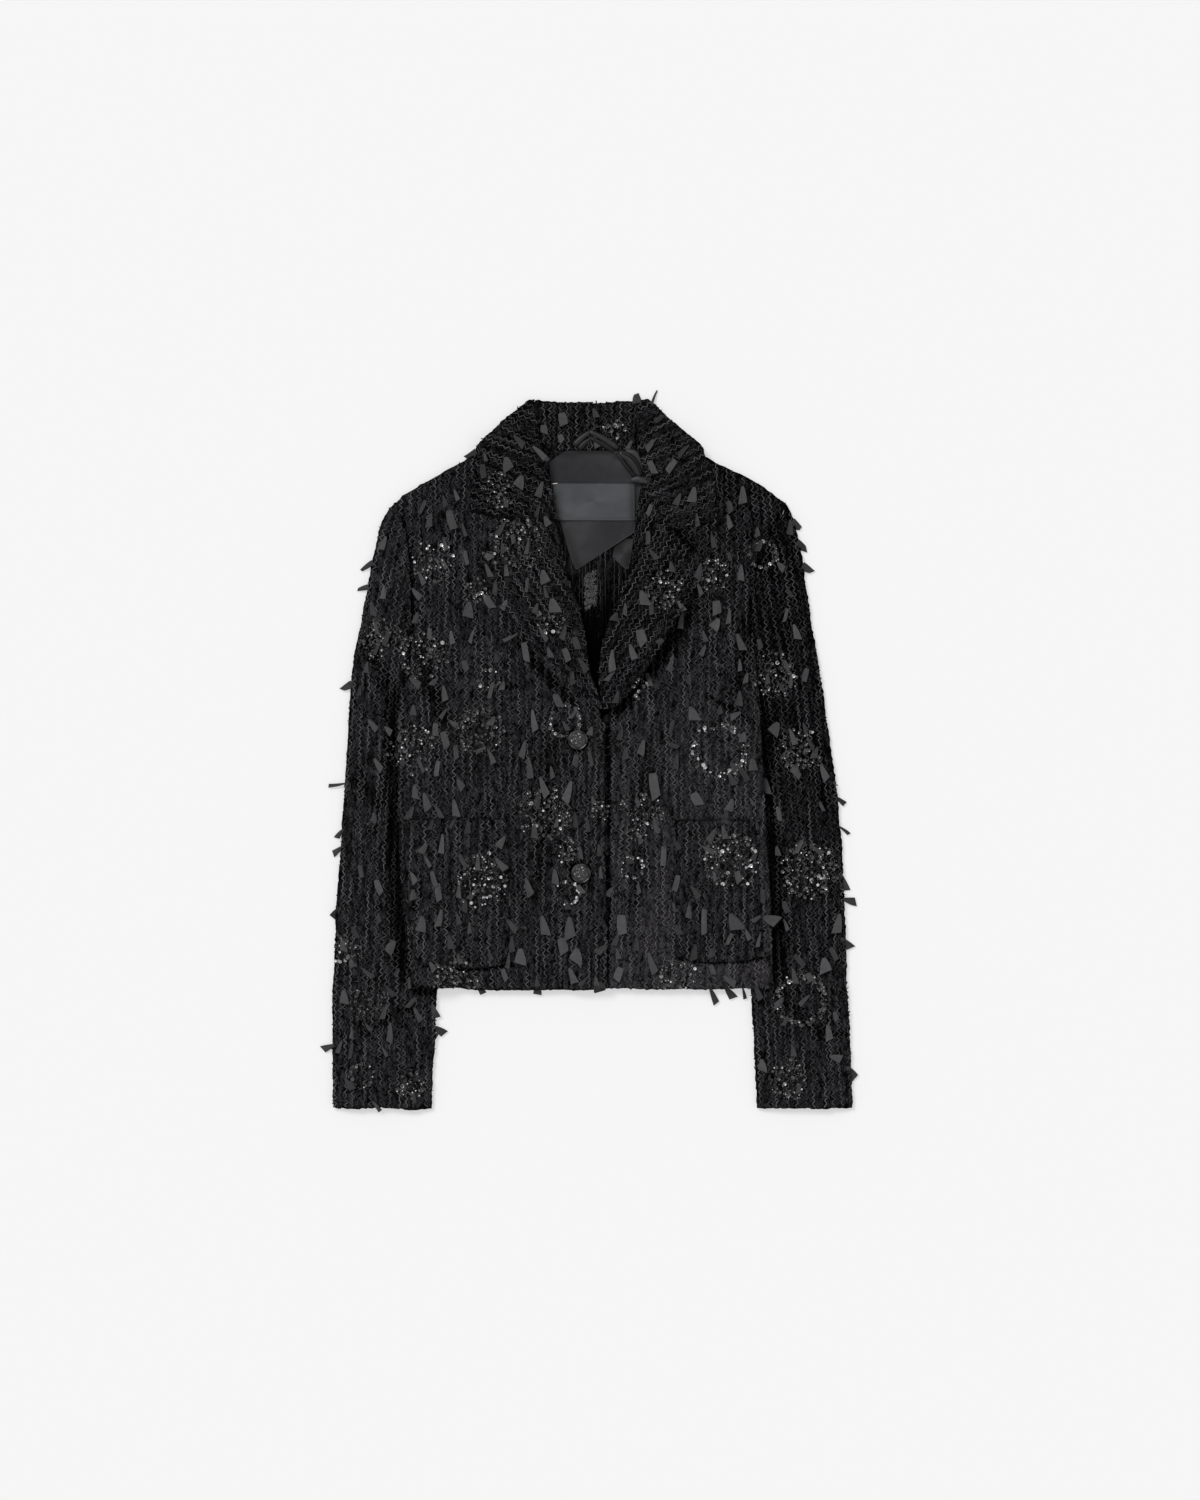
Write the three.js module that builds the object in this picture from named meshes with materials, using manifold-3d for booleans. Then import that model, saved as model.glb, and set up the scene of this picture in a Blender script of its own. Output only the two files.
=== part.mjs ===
// A cropped tweed blazer laid flat on its back: two fronts over two backs, two-piece sleeves beside
// them, notched lapels, a turned collar, patch pockets, and ribbon yarns with cut ends on the cloth.
// Millimetres. +Z is up from the table and +Y runs towards the collar. Left and right are the
// wearer's, so the right front lies at -X. Heights and outlines are worked out in x measured
// outward from the middle, towards the sleeve of the side in question.

import * as THREE from "three";
import { mergeVertices } from "three/addons/utils/BufferGeometryUtils.js";
import Module from "manifold-3d";

// Driving sizes
const CLOTH = 2.6; // tweed wall
const SATIN = 1.0; // lining, label and loop wall
const SEAM = 0.4; // air between pieces at a seam
const REST = 0.6; // air between a piece and what it lies on
const LOFT = 3.4; // air inside the body and the sleeves, away from their edges
const NECK_LOFT = 2.2; // and near the neck and shoulders
const LOFT_REACH = 22; // distance from an edge over which the loft grows
const SLEEVE_STACK = 2 * CLOTH + SEAM + REST; // height of a flat sleeve under the body
const COLLAR_STACK = CLOTH + REST; // height of the collar's fall under the back neck
const OVERLAP_STACK = CLOTH + REST; // height of the left front under the right front's edge
const HEM_Y = -244;
const CUFF_Y = -368;
const TURN_UP = 28; // depth of the turned hem and cuffs
const TURN_UP_RISE = 0.6;
const UNDERARM_Y = 66; // below it the sleeve runs under the body
const SLEEVE_FREE_Y = 110; // above it the body lies on the table beside the sleeve
const SLEEVE_RAMP = [31, 21, 12, 3]; // steps over which the body comes down beside a hidden sleeve
const BACK_SEAM_X = 8; // centre back seam, on the wearer's left of the middle
const BREAK_Y = 43; // foot of the lapels
const UNDERLAP = 10; // the left front's hidden edge, past the middle
const LIP = 3.0; // wall of a folded edge, seen from above
const LIP_ROOM = 5.4; // the cloth under a folded edge stands this far outside the fold
const FOLD_INSET = 1.2; // the lower layer of a folded edge stands this far inside it
const STRIP_WIDTH = 1.8; // ribbon yarn
const STRIP_WALL = 0.8;
const STRIP_REST = 0.5;
const TAB_ROOT = 2.6; // width of a ribbon's cut end at the yarn
const TAB_RISE = 1.4; // height of its free end over the yarn

// Helpers
const clamp = (t) => Math.min(1, Math.max(0, t));
const ease = (t) => clamp(t) ** 2 * (3 - 2 * clamp(t));
const mix = (a, b, t) => a + (b - a) * t;
const spaced = (a, b, count) => Array.from({ length: count }, (_, i) => mix(a, b, i / (count - 1)));

// A smooth curve x(y) through a table's rows, with no overshoot between them.
function curve(rows) {
  const ys = rows.map((row) => row.y);
  const xs = rows.map((row) => row.x);
  const steps = ys.slice(1).map((y, i) => (xs[i + 1] - xs[i]) / (y - ys[i]));
  const slopes = ys.map((_, i) => {
    const before = steps[i - 1] ?? steps[i];
    const after = steps[i] ?? steps[i - 1];
    return before * after <= 0 ? 0 : (2 * before * after) / (before + after);
  });
  return (y) => {
    let i = ys.findIndex((_, k) => k < ys.length - 2 && y > ys[k + 1]);
    if (i < 0) i = ys.length - 2;
    const run = ys[i + 1] - ys[i];
    const t = clamp((y - ys[i]) / run);
    const bend = (1 - t) * (slopes[i] - steps[i]) - t * (slopes[i + 1] - steps[i]);
    return mix(xs[i], xs[i + 1], t) + t * (1 - t) * run * bend;
  };
}

// Outlines of the two sides. edge is the shoulder line, the armhole seam, then the side fold. roll
// is the fold of the collar and lapel, then the front edge.
const RIGHT = {
  side: "right",
  sign: -1,
  edge: curve([
    { y: 338, x: 59 },
    { y: 310, x: 120 },
    { y: 294, x: 148 },
    { y: 276, x: 180 },
    { y: 260, x: 202.5 },
    { y: 246, x: 199 },
    { y: 230, x: 193.5 },
    { y: 184, x: 188.5 },
    { y: 145, x: 187.5 },
    { y: 117, x: 189.5 },
    { y: 66, x: 198.5 },
    { y: 14, x: 201 },
    { y: -100, x: 199.5 },
    { y: -174, x: 194.5 },
    { y: -244, x: 187 },
  ]),
  sleeveOuter: curve([
    { y: 262, x: 203.2 },
    { y: 257, x: 207 },
    { y: 250, x: 212.3 },
    { y: 242, x: 216.5 },
    { y: 221, x: 223 },
    { y: 180, x: 231 },
    { y: 118, x: 242.5 },
    { y: 76, x: 249.5 },
    { y: -7, x: 254 },
    { y: -90, x: 260 },
    { y: -174, x: 265 },
    { y: -257, x: 268.5 },
    { y: -368, x: 268.5 },
  ]),
  sleeveInner: curve([
    { y: 80, x: 122 },
    { y: -100, x: 141 },
    { y: -244, x: 161 },
    { y: -298, x: 164.5 },
    { y: -368, x: 167.5 },
  ]),
  roll: curve([
    { y: 368, x: 61 },
    { y: 345, x: 58 },
    { y: 319, x: 53 },
    { y: 300, x: 46 },
    { y: 279, x: 43.5 },
    { y: 243, x: 36.5 },
    { y: 189, x: 26.5 },
    { y: 142, x: 11 },
    { y: 112, x: 6 },
    { y: 85, x: 2.5 },
    { y: 66, x: -4.5 },
    { y: 43, x: -11.5 },
    { y: 29, x: -12.5 },
    { y: -101, x: -13.5 },
    { y: -244, x: -15.5 },
  ]),
  collarOuter: curve([
    { y: 368, x: 63.5 },
    { y: 350, x: 85.5 },
    { y: 325, x: 113.5 },
    { y: 318, x: 119.8 },
    { y: 308, x: 120 },
    { y: 281, x: 122.5 },
    { y: 252, x: 127 },
  ]),
  gorge: { topY: 279, notchY: 242.5, notchX: 80 },
  collarTipY: 252,
  lapelTipY: 197.5,
  lapelTipX: 119.5,
  lapelOuter: curve([
    { y: 197.5, x: 119.5 },
    { y: 180, x: 111.5 },
    { y: 161, x: 98 },
    { y: 136, x: 82 },
    { y: 117, x: 65 },
    { y: 90, x: 33 },
    { y: 67, x: 12.5 },
    { y: 50, x: -4 },
    { y: 43, x: -7 },
  ]),
  lapelEndY: 46,
  lapelLift: 1.6,
  pocket: { topY: -68, bottomY: -223, inner: 87, sideGap: 5 },
};

const LEFT = {
  side: "left",
  sign: 1,
  edge: curve([
    { y: 338, x: 58 },
    { y: 307, x: 117 },
    { y: 294, x: 141 },
    { y: 282, x: 168 },
    { y: 269, x: 186 },
    { y: 257, x: 200.5 },
    { y: 232, x: 190 },
    { y: 206, x: 178 },
    { y: 180, x: 169 },
    { y: 149, x: 165.5 },
    { y: 107, x: 169 },
    { y: 66, x: 172.5 },
    { y: -60, x: 179 },
    { y: -154, x: 185 },
    { y: -190, x: 188 },
    { y: -244, x: 184.5 },
  ]),
  sleeveOuter: curve([
    { y: 260, x: 199.6 },
    { y: 257, x: 202 },
    { y: 250, x: 206 },
    { y: 242, x: 209 },
    { y: 201, x: 217.5 },
    { y: 159, x: 223.5 },
    { y: 118, x: 230 },
    { y: 76, x: 237 },
    { y: -7, x: 248.5 },
    { y: -60, x: 256.5 },
    { y: -132, x: 260.5 },
    { y: -215, x: 263 },
    { y: -298, x: 267.5 },
    { y: -368, x: 269.5 },
  ]),
  sleeveInner: curve([
    { y: 80, x: 122 },
    { y: -100, x: 144 },
    { y: -246, x: 166 },
    { y: -298, x: 168.5 },
    { y: -368, x: 172.5 },
  ]),
  roll: curve([
    { y: 368, x: 52 },
    { y: 345, x: 49.5 },
    { y: 321, x: 48 },
    { y: 293, x: 54 },
    { y: 271, x: 50 },
    { y: 243, x: 46 },
    { y: 191, x: 38.5 },
    { y: 141, x: 19.5 },
    { y: 104, x: 9.5 },
    { y: 81, x: 8 },
    { y: 66, x: 8 },
    { y: 43, x: 14 },
  ]),
  collarOuter: curve([
    { y: 368, x: 56.5 },
    { y: 350, x: 77.5 },
    { y: 331, x: 97.5 },
    { y: 319, x: 112 },
    { y: 307, x: 117 },
    { y: 286, x: 125 },
    { y: 266, x: 129 },
    { y: 241, x: 124 },
  ]),
  gorge: { topY: 279, notchY: 232, notchX: 82 },
  collarTipY: 241,
  lapelTipY: 197.5,
  lapelTipX: 119.5,
  lapelOuter: curve([
    { y: 197.5, x: 119.5 },
    { y: 180, x: 113 },
    { y: 168, x: 106 },
    { y: 148, x: 92.5 },
    { y: 112, x: 70.5 },
    { y: 76, x: 49.5 },
    { y: 53, x: 29 },
    { y: 44, x: 20 },
  ]),
  lapelEndY: 45,
  lapelLift: 2.8,
  pocket: { topY: -69, bottomY: -217, inner: 87, sideGap: 11 },
};

const MIDDLE = { sign: 1 };
const SIDES = [RIGHT, LEFT];

// Soft folds: a ridge from one point to another. spread is its half width.
const FRONT_FOLDS = [
  { side: RIGHT, x: 150, y: 60, toX: 60, toY: 20, rise: 1.2, spread: 20 },
  { side: RIGHT, x: 60, y: -30, toX: 96, toY: -225, rise: 1.1, spread: 22 },
  { side: LEFT, x: 120, y: 58, toX: 40, toY: 18, rise: 1.3, spread: 18 },
  { side: LEFT, x: 52, y: -20, toX: 66, toY: -235, rise: 1.2, spread: 20 },
  { side: LEFT, x: 150, y: 225, toX: 132, toY: 110, rise: 1.1, spread: 16 },
];
const SLEEVE_FOLDS = [
  { side: RIGHT, x: 214, y: 190, toX: 224, toY: 60, rise: 1.2, spread: 12 },
  { side: RIGHT, x: 232, y: 20, toX: 226, toY: -150, rise: 1.1, spread: 14 },
  { side: RIGHT, x: 190, y: -270, toX: 236, toY: -300, rise: 1.1, spread: 12 },
  { side: LEFT, x: 190, y: 200, toX: 208, toY: 90, rise: 1.4, spread: 12 },
  { side: LEFT, x: 222, y: 60, toX: 236, toY: -110, rise: 1.3, spread: 11 },
  { side: LEFT, x: 212, y: -270, toX: 220, toY: -340, rise: 1.1, spread: 14 },
];

function foldRise(folds, part, x, y) {
  let rise = 0;
  for (const fold of folds.filter((row) => row.side === part)) {
    const dx = fold.toX - fold.x;
    const dy = fold.toY - fold.y;
    const along = ((x - fold.x) * dx + (y - fold.y) * dy) / (dx * dx + dy * dy);
    const t = clamp(along);
    const away = Math.hypot(x - fold.x - t * dx, y - fold.y - t * dy);
    rise += fold.rise * Math.exp(-((away / fold.spread) ** 2));
  }
  return rise;
}

// How far a top surface rounds down at a free edge, away being the distance from that edge.
const softEdge = (away, reach, drop) => drop * (1 - Math.sqrt(1 - (1 - clamp(away / reach)) ** 2));
const turnUp = (y, endY) => TURN_UP_RISE * clamp((endY + TURN_UP - y) / 2);

// A closed piece of cloth between two heights over a grid. rows are y values from the top down, and
// columns(y) gives the same number of x values for each row, from the inside out.
function sheet(part, rows, columns, bottom, top) {
  const across = columns(rows[0]).length;
  const count = rows.length * across;
  const positions = [];
  for (const height of [top, bottom])
    for (const y of rows)
      for (const x of columns(y)) positions.push(part.sign * x, y, height(x, y));
  const faces = [];
  const quad = (a, b, c, d) => faces.push(...(part.sign > 0 ? [a, b, c, a, c, d] : [a, c, b, a, d, c]));
  const at = (i, j) => i * across + j;
  for (let i = 0; i + 1 < rows.length; i++)
    for (let j = 0; j + 1 < across; j++) {
      const corners = [at(i, j), at(i + 1, j), at(i + 1, j + 1), at(i, j + 1)];
      quad(...corners);
      quad(...corners.reverse().map((corner) => corner + count));
    }
  const wall = (a, b) => quad(a, a + count, b + count, b);
  for (let i = 0; i + 1 < rows.length; i++) {
    wall(at(i, 0), at(i + 1, 0));
    wall(at(i + 1, across - 1), at(i, across - 1));
  }
  for (let j = 0; j + 1 < across; j++) {
    wall(at(0, j + 1), at(0, j));
    wall(at(rows.length - 1, j), at(rows.length - 1, j + 1));
  }
  const geometry = new THREE.BufferGeometry();
  geometry.setAttribute("position", new THREE.Float32BufferAttribute(positions, 3));
  geometry.setIndex(faces);
  return { part, rows, columns, top, geometry };
}

// Height of a piece's faceted top at a point, held level past its edges.
function heightAt({ rows, columns, top }, x, y) {
  const found = rows.findIndex((row) => row <= y);
  const lower = found < 0 ? rows.length - 1 : found;
  const upper = Math.max(0, lower - 1);
  const along = (row) => {
    const xs = columns(row);
    const past = xs.findIndex((value) => value >= x);
    const j = past < 0 ? xs.length - 1 : Math.max(1, past);
    return mix(top(xs[j - 1], row), top(xs[j], row), clamp((x - xs[j - 1]) / (xs[j] - xs[j - 1])));
  };
  if (upper === lower) return along(rows[lower]);
  const t = clamp((y - rows[lower]) / (rows[upper] - rows[lower]));
  return mix(along(rows[lower]), along(rows[upper]), t);
}

// Materials
const matte = (color, roughness) => new THREE.MeshStandardMaterial({ color, roughness, metalness: 0 });
const TWEED = matte(0x232226, 0.95);
const LINING = matte(0x333338, 0.45);
const LABEL = matte(0x44474a, 0.55);
const RIBBON = matte(0x3e3d40, 0.75);
const BUTTON = matte(0x303033, 0.3);

const blazer = new THREE.Group();
function add(name, geometry, material) {
  geometry.computeVertexNormals();
  const mesh = new THREE.Mesh(geometry, material);
  mesh.name = name;
  blazer.add(mesh);
}

// Rows where the layers change height, which all pieces of the body share, and rows for the shapes
const STEP_ROWS = [336, 328, 321, 317, 308, 298, 292, 286, 280, 110, 96, 82, 66, 43, -216, -218, HEM_Y];
const FRONT_ROWS = [268, 260, 256, 240, 224, 206, 184, 160, 136, 53, 30, 10, -30, -100, -160];
const BACK_ROWS = [262, 226, 184, 140, 10, -60, -140];
const rowsFrom = (rows, topY, bottomY) =>
  [...STEP_ROWS, ...rows].filter((y) => y <= topY && y >= bottomY).sort((a, b) => b - a);

// The back's underside: on the table, on the sleeves' hidden strips, or on the collar's fall.
function backBottom(part, x, y) {
  const beside = part.sleeveInner(y) - SLEEVE_RAMP[3] - x;
  const overSleeve = SLEEVE_STACK * (1 - ease(beside / (SLEEVE_RAMP[0] - SLEEVE_RAMP[3])));
  const onSleeve = 1 - ease((y - UNDERARM_Y) / (SLEEVE_FREE_Y - UNDERARM_Y));
  return overSleeve * onSleeve + COLLAR_STACK * ease((y - 280) / 18);
}
const backTop = (part, x, y) => backBottom(part, x, y) + CLOTH;

// The front's underside: over the back with air between, and over the left front at the closing.
function frontBottom(part, x, y) {
  const loft = mix(LOFT, NECK_LOFT, ease((y - 250) / 40));
  const air = SEAM + (loft - SEAM) * ease((part.edge(y) - x) / LOFT_REACH);
  const folds = foldRise(FRONT_FOLDS, part, x, y) * ease((part.edge(y) - x) / LOFT_REACH);
  const overlap = part === RIGHT ? ease((26 - x) / 13) * ease((64 - y) / 18) : 0;
  return backTop(part, x, y) + air + folds + (OVERLAP_STACK + turnUp(y, HEM_Y)) * overlap;
}

// Columns of the body. Low down they follow the hidden sleeve's edge, and higher up they are shares
// of the width.
function bodyColumns(part, y, innerColumns, outerInset, shares) {
  const edge = part.edge(y) - outerInset;
  const sleeve = part.sleeveInner(y);
  const ramp = SLEEVE_RAMP.map((step) => sleeve - step);
  const between = mix(innerColumns.at(-1), ramp[0], 0.5);
  const low = [...innerColumns, between, ...ramp, edge - LOFT_REACH, edge - 8, edge];
  const high = shares.map((share) => mix(innerColumns[0], edge, share));
  const t = ease((y - UNDERARM_Y) / (SLEEVE_FREE_Y - UNDERARM_Y));
  return low.map((x, j) => mix(x, high[j], t));
}

const BACK_SHARES = [0, 0.15, 0.3, 0.44, 0.57, 0.7, 0.84, 0.94, 1];
const FRONT_SHARES = [0, 0.05, 0.13, 0.23, 0.34, 0.45, 0.56, 0.67, 0.77, 0.86, 0.94, 1];

const neckline = curve([
  { y: 338, x: 58 },
  { y: 328, x: 55.5 },
  { y: 321, x: 51 },
  { y: 317, x: 46 },
  { y: 314, x: 44 },
]);

function makeBack(part) {
  const centre = part.sign * BACK_SEAM_X + SEAM / 2;
  const inner = (y) => (y > 312 ? neckline(y) : centre);
  const columns = (y) => bodyColumns(part, y, [inner(y)], FOLD_INSET, BACK_SHARES);
  const rows = [336, 328, 321, 317, 313, ...rowsFrom(BACK_ROWS, 308, -218), HEM_Y + FOLD_INSET];
  const bottom = (x, y) => backBottom(part, x, y);
  return sheet(part, rows, columns, bottom, (x, y) => backTop(part, x, y));
}

// The front stops short of its roll line, where the lapel's folded edge comes down beside it.
function frontInner(part, y) {
  const roomy = part.roll(y) + LIP_ROOM;
  if (part === RIGHT) return mix(part.roll(y), roomy, ease((y - 30) / 13));
  return mix(roomy, -UNDERLAP, ease((BREAK_Y - y) / 24));
}

function makeFront(part) {
  const columns = (y) => {
    const inner = frontInner(part, y);
    const start = [inner, inner + 7, Math.max(13, inner + 16), Math.max(26, inner + 26)];
    return bodyColumns(part, y, start, 0, FRONT_SHARES);
  };
  const bottom = (x, y) => frontBottom(part, x, y);
  const top = (x, y) => bottom(x, y) + CLOTH + turnUp(y, HEM_Y) - softEdge(part.edge(y) - x, 8, 1.4);
  return sheet(part, rowsFrom(FRONT_ROWS, 328, HEM_Y), columns, bottom, top);
}

// Sleeves. Above the underarm a sleeve starts at the armhole seam, and below it runs on under the
// body as far as its own inner fold.
const SLEEVE_ROWS = [
  260, 256, 250, 240, 224, 206, 184, 160, 136, 110, 96, 82, 66, 54, 43, 34, -25, -95, -170, -244, -256,
  -272, -338, -340, CUFF_Y,
];
const UNDER_SLEEVE_ROWS = SLEEVE_ROWS.filter((y) => (y <= 250 && y > -338) || y === CUFF_Y);
const SLEEVE_SHARES = [0, 0.1, 0.22, 0.36, 0.5, 0.64, 0.78, 0.91, 1];

function sleeveInner(part, y) {
  const armhole = part.edge(y) + 1.5 * SEAM;
  return mix(part.sleeveInner(y), armhole, ease((y - 34) / (UNDERARM_Y - 34)));
}

function sleeveColumns(part, y, inset) {
  const inner = sleeveInner(part, y) + (y < 34 ? inset : 0);
  const outer = part.sleeveOuter(y) - inset;
  const cover = part.edge(Math.max(y, HEM_Y));
  const low = [inner, mix(inner, cover, 0.5), cover - 4, cover + 3, cover + 12];
  low.push(mix(cover + 12, outer - 18, 0.5), outer - 18, outer - 7, outer);
  const high = SLEEVE_SHARES.map((share) => mix(inner, outer, share));
  const t = Math.max(ease((y - 34) / (UNDERARM_Y - 34)), ease((HEM_Y - y) / 28));
  return low.map((x, j) => mix(x, high[j], t));
}

function sleeveLoft(part, x, y) {
  const hem = ease((HEM_Y - 6 - y) / 28);
  const from = mix(part.edge(Math.max(y, HEM_Y)) + 2, sleeveInner(part, y), hem);
  return Math.min(ease((x - from) / LOFT_REACH), ease((part.sleeveOuter(y) - x) / LOFT_REACH));
}

function makeUpperSleeve(part) {
  const bottom = (x, y) => {
    const folds = foldRise(SLEEVE_FOLDS, part, x, y);
    return CLOTH + SEAM + (LOFT - SEAM + folds) * sleeveLoft(part, x, y);
  };
  const top = (x, y) => {
    const rim = softEdge(part.sleeveOuter(y) - x, 8, 1.5);
    const open = ease((HEM_Y - 6 - y) / 28);
    const fold = open * softEdge(x - part.sleeveInner(y), 8, 1.3);
    return bottom(x, y) + CLOTH + turnUp(y, CUFF_Y) - rim - fold;
  };
  return sheet(part, SLEEVE_ROWS, (y) => sleeveColumns(part, y, 0), bottom, top);
}

function makeUnderSleeve(part) {
  const columns = (y) => sleeveColumns(part, y, FOLD_INSET).filter((_, j) => j % 2 === 0);
  return sheet(part, UNDER_SLEEVE_ROWS, columns, () => 0, () => CLOTH);
}

// Lapels and collar leaves lie on the fronts and turn down at the roll line in a folded lip.
function gorgeX(part, y) {
  const { topY, notchY, notchX } = part.gorge;
  return mix(part.roll(topY), notchX, clamp((topY - y) / (topY - notchY)));
}

function lippedColumns(inner, outer) {
  const width = outer - inner;
  const lip = Math.min(LIP, 0.4 * width);
  const flat = inner + lip + Math.min(0.4, 0.1 * width);
  const rim = outer - Math.min(1.2, 0.1 * width);
  return [inner, inner + lip, flat, mix(flat, rim, 0.33), mix(flat, rim, 0.66), rim, outer];
}

function lapelOuter(part, y) {
  const { notchY, notchX } = part.gorge;
  if (y > notchY) return gorgeX(part, y) - 2 * SEAM;
  if (y > part.lapelTipY) return mix(notchX, part.lapelTipX, (notchY - y) / (notchY - part.lapelTipY));
  return part.lapelOuter(y);
}

function makeLapel(part, front) {
  const { topY, notchY } = part.gorge;
  const shape = [notchY, part.lapelTipY, 216, 190, 176, 160, 144, 128, 110, 96, 82, 66, 54];
  const rows = [topY - 5, topY - 16, topY - 27, ...shape, part.lapelEndY].sort((a, b) => b - a);
  const columns = (y) => lippedColumns(part.roll(y), lapelOuter(part, y));
  const lying = (x, y) => {
    const across = (x - part.roll(y)) / Math.max(20, lapelOuter(part, y) - part.roll(y));
    const lift = part.lapelLift * ease(across * 1.2) * ease((notchY + 6 - y) / 40) * ease((y - 40) / 40);
    return heightAt(front, x, y) + REST + lift;
  };
  const bottom = (x, y) => {
    const [, lipEdge] = columns(y);
    return x > lipEdge + 0.01 ? lying(x, y) : frontBottom(part, part.roll(y) + LIP_ROOM, y);
  };
  const top = (x, y) => {
    const rim = softEdge(x - part.roll(y), 5, 1.5) + softEdge(lapelOuter(part, y) - x, 4, 0.7);
    return lying(x, y) + CLOTH - rim;
  };
  return sheet(part, rows, columns, bottom, top);
}

// A collar leaf stands clear over the shoulder line, and past it comes down to the fall behind.
function leafLying(part, front, x, y) {
  const shoulderY = mix(338, 310, (x - 59) / 61);
  const past = ease((0.9 * (y - shoulderY) - 4) / 16);
  const tip = 0.9 * ease((270 - y) / 30) * ease((x - 70) / 40);
  const onY = Math.min(y, 320);
  const onX = Math.min(x, part.edge(onY) - LOFT_REACH);
  return mix(heightAt(front, onX, onY) + REST, COLLAR_STACK, past) + tip;
}

function leafOuter(part, y) {
  const { notchY, notchX } = part.gorge;
  if (y >= part.collarTipY) return part.collarOuter(y);
  return mix(notchX, part.collarOuter(part.collarTipY), (y - notchY) / (part.collarTipY - notchY));
}

function makeLeaf(part, front) {
  const { topY, notchY } = part.gorge;
  const inner = (y) => (y >= topY ? part.roll(y) : gorgeX(part, y));
  const low = [262, part.collarTipY, mix(part.collarTipY, notchY, 0.5), notchY + 1];
  const rows = [366.5, 361, 354, 346, 336, 328, 320, 316, 308, 298, 288, topY, topY - 8, ...low];
  const columns = (y) => {
    const xs = lippedColumns(inner(y), leafOuter(part, y));
    const outer = xs.at(-1);
    const width = outer - xs[0];
    const folded = outer - Math.min(LIP, 0.3 * width);
    const flatEnd = folded - Math.min(0.4, 0.05 * width);
    return [...xs.slice(0, 3), ...spaced(xs[2], flatEnd, 4).slice(1), folded, outer];
  };
  const bottom = (x, y) => {
    const xs = columns(y);
    const lying = leafLying(part, front, x, y);
    if (y > topY && x <= xs[1] + 0.01) {
      const onNeck = COLLAR_STACK + CLOTH + REST;
      return Math.min(lying, y > 310 ? onNeck : frontBottom(part, part.roll(y) + LIP_ROOM, y));
    }
    return y > 318 && x >= xs.at(-2) - 0.01 ? SEAM : lying;
  };
  const top = (x, y) => {
    const rim = y >= topY ? softEdge(x - inner(y), 5, 1.4) : 0;
    return leafLying(part, front, x, y) + CLOTH - rim - softEdge(leafOuter(part, y) - x, 4, 0.9);
  };
  return sheet(part, rows, columns, bottom, top);
}

// The stand shows its inner face behind the neck, and folds over to the fall at the top.
const STAND_TOP_Y = 363.8;
const STAND_FOLD = 4.1;
const STAND_FOOT_Y = 315;

function makeStand() {
  const side = (part, y) => Math.min(part.roll(y), neckline(y)) - 2 * SEAM;
  const columns = (y) => spaced(-side(RIGHT, y), side(LEFT, y), 9);
  const foldY = STAND_TOP_Y - STAND_FOLD;
  const rows = [STAND_TOP_Y, foldY, foldY - 0.4, 350, 336, 328, 321, 317, STAND_FOOT_Y];
  const cup = (x, y) => 2.4 * ease((Math.abs(x + 4) - 34) / 20) * ease((STAND_TOP_Y - 2.5 - y) / 14);
  const bottom = (x, y) => (y > foldY - 0.2 ? 0 : COLLAR_STACK + cup(x, y));
  const top = (x, y) => COLLAR_STACK + CLOTH + cup(x, y) - softEdge(STAND_TOP_Y - y, 6, 1.8);
  return sheet(MIDDLE, rows, columns, bottom, top);
}

function makeFall() {
  const side = (part, y) => {
    const edge = part.collarOuter(Math.max(y, 318)) - LIP - 1.2;
    return edge - 34 * ease((318 - y) / 15);
  };
  const columns = (y) => spaced(-side(RIGHT, y), side(LEFT, y), 9);
  const topY = STAND_TOP_Y - STAND_FOLD - 1.9;
  return sheet(MIDDLE, [topY, 348, 334, 318, 313, 308, 303], columns, () => 0, () => CLOTH);
}

// Satin inside the neck, the flap behind it, the label and the hanger loop
const LINING_TOP_Y = STAND_FOOT_Y - SEAM - 0.2;
const LINING_EDGE = { leftX: -17.7, leftY: 189, rightX: 43.7, rightY: 229 };

function insideHeight(x, y) {
  return backTop(x > BACK_SEAM_X ? LEFT : RIGHT, Math.abs(x), y) + SEAM;
}

function makeLining() {
  const { leftX, leftY, rightX, rightY } = LINING_EDGE;
  const reach = (part, y) => Math.min(part.roll(y) + 1, y > 300 ? 46 : 60);
  const right = (y) => (y > rightY ? reach(LEFT, y) : mix(leftX, rightX, (y - leftY) / (rightY - leftY)));
  const rows = [LINING_TOP_Y, 305, 298, 292, 286, 280, 262, 245, rightY, 216, 203, leftY + 1];
  const columns = (y) => spaced(-reach(RIGHT, y), right(y), 6);
  return sheet(MIDDLE, rows, columns, insideHeight, (x, y) => insideHeight(x, y) + SATIN);
}

function makeLiningFlap() {
  const { leftX, leftY, rightX, rightY } = LINING_EDGE;
  const edge = (y) => mix(leftX, rightX, (y - leftY) / (rightY - leftY)) + 1.5;
  const tip = { x: 37.4, y: 190 };
  const inner = (y) => Math.max(edge(y), tip.x - 1.1 * (y - tip.y) - 2);
  const columns = (y) => spaced(inner(y), LEFT.roll(y) + 1, 3);
  const rows = [rightY - 5, 214, 204, tip.y + 1];
  return sheet(MIDDLE, rows, columns, insideHeight, (x, y) => insideHeight(x, y) + SATIN);
}

function makeLabel(lining) {
  const rows = [280.8, 262, 241.3];
  const bottom = (x, y) => heightAt(lining, x, y) + SEAM;
  const columns = () => [-40.5, 0, 44.7];
  return sheet(MIDDLE, rows, columns, bottom, (x, y) => bottom(x, y) + 0.8);
}

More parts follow.
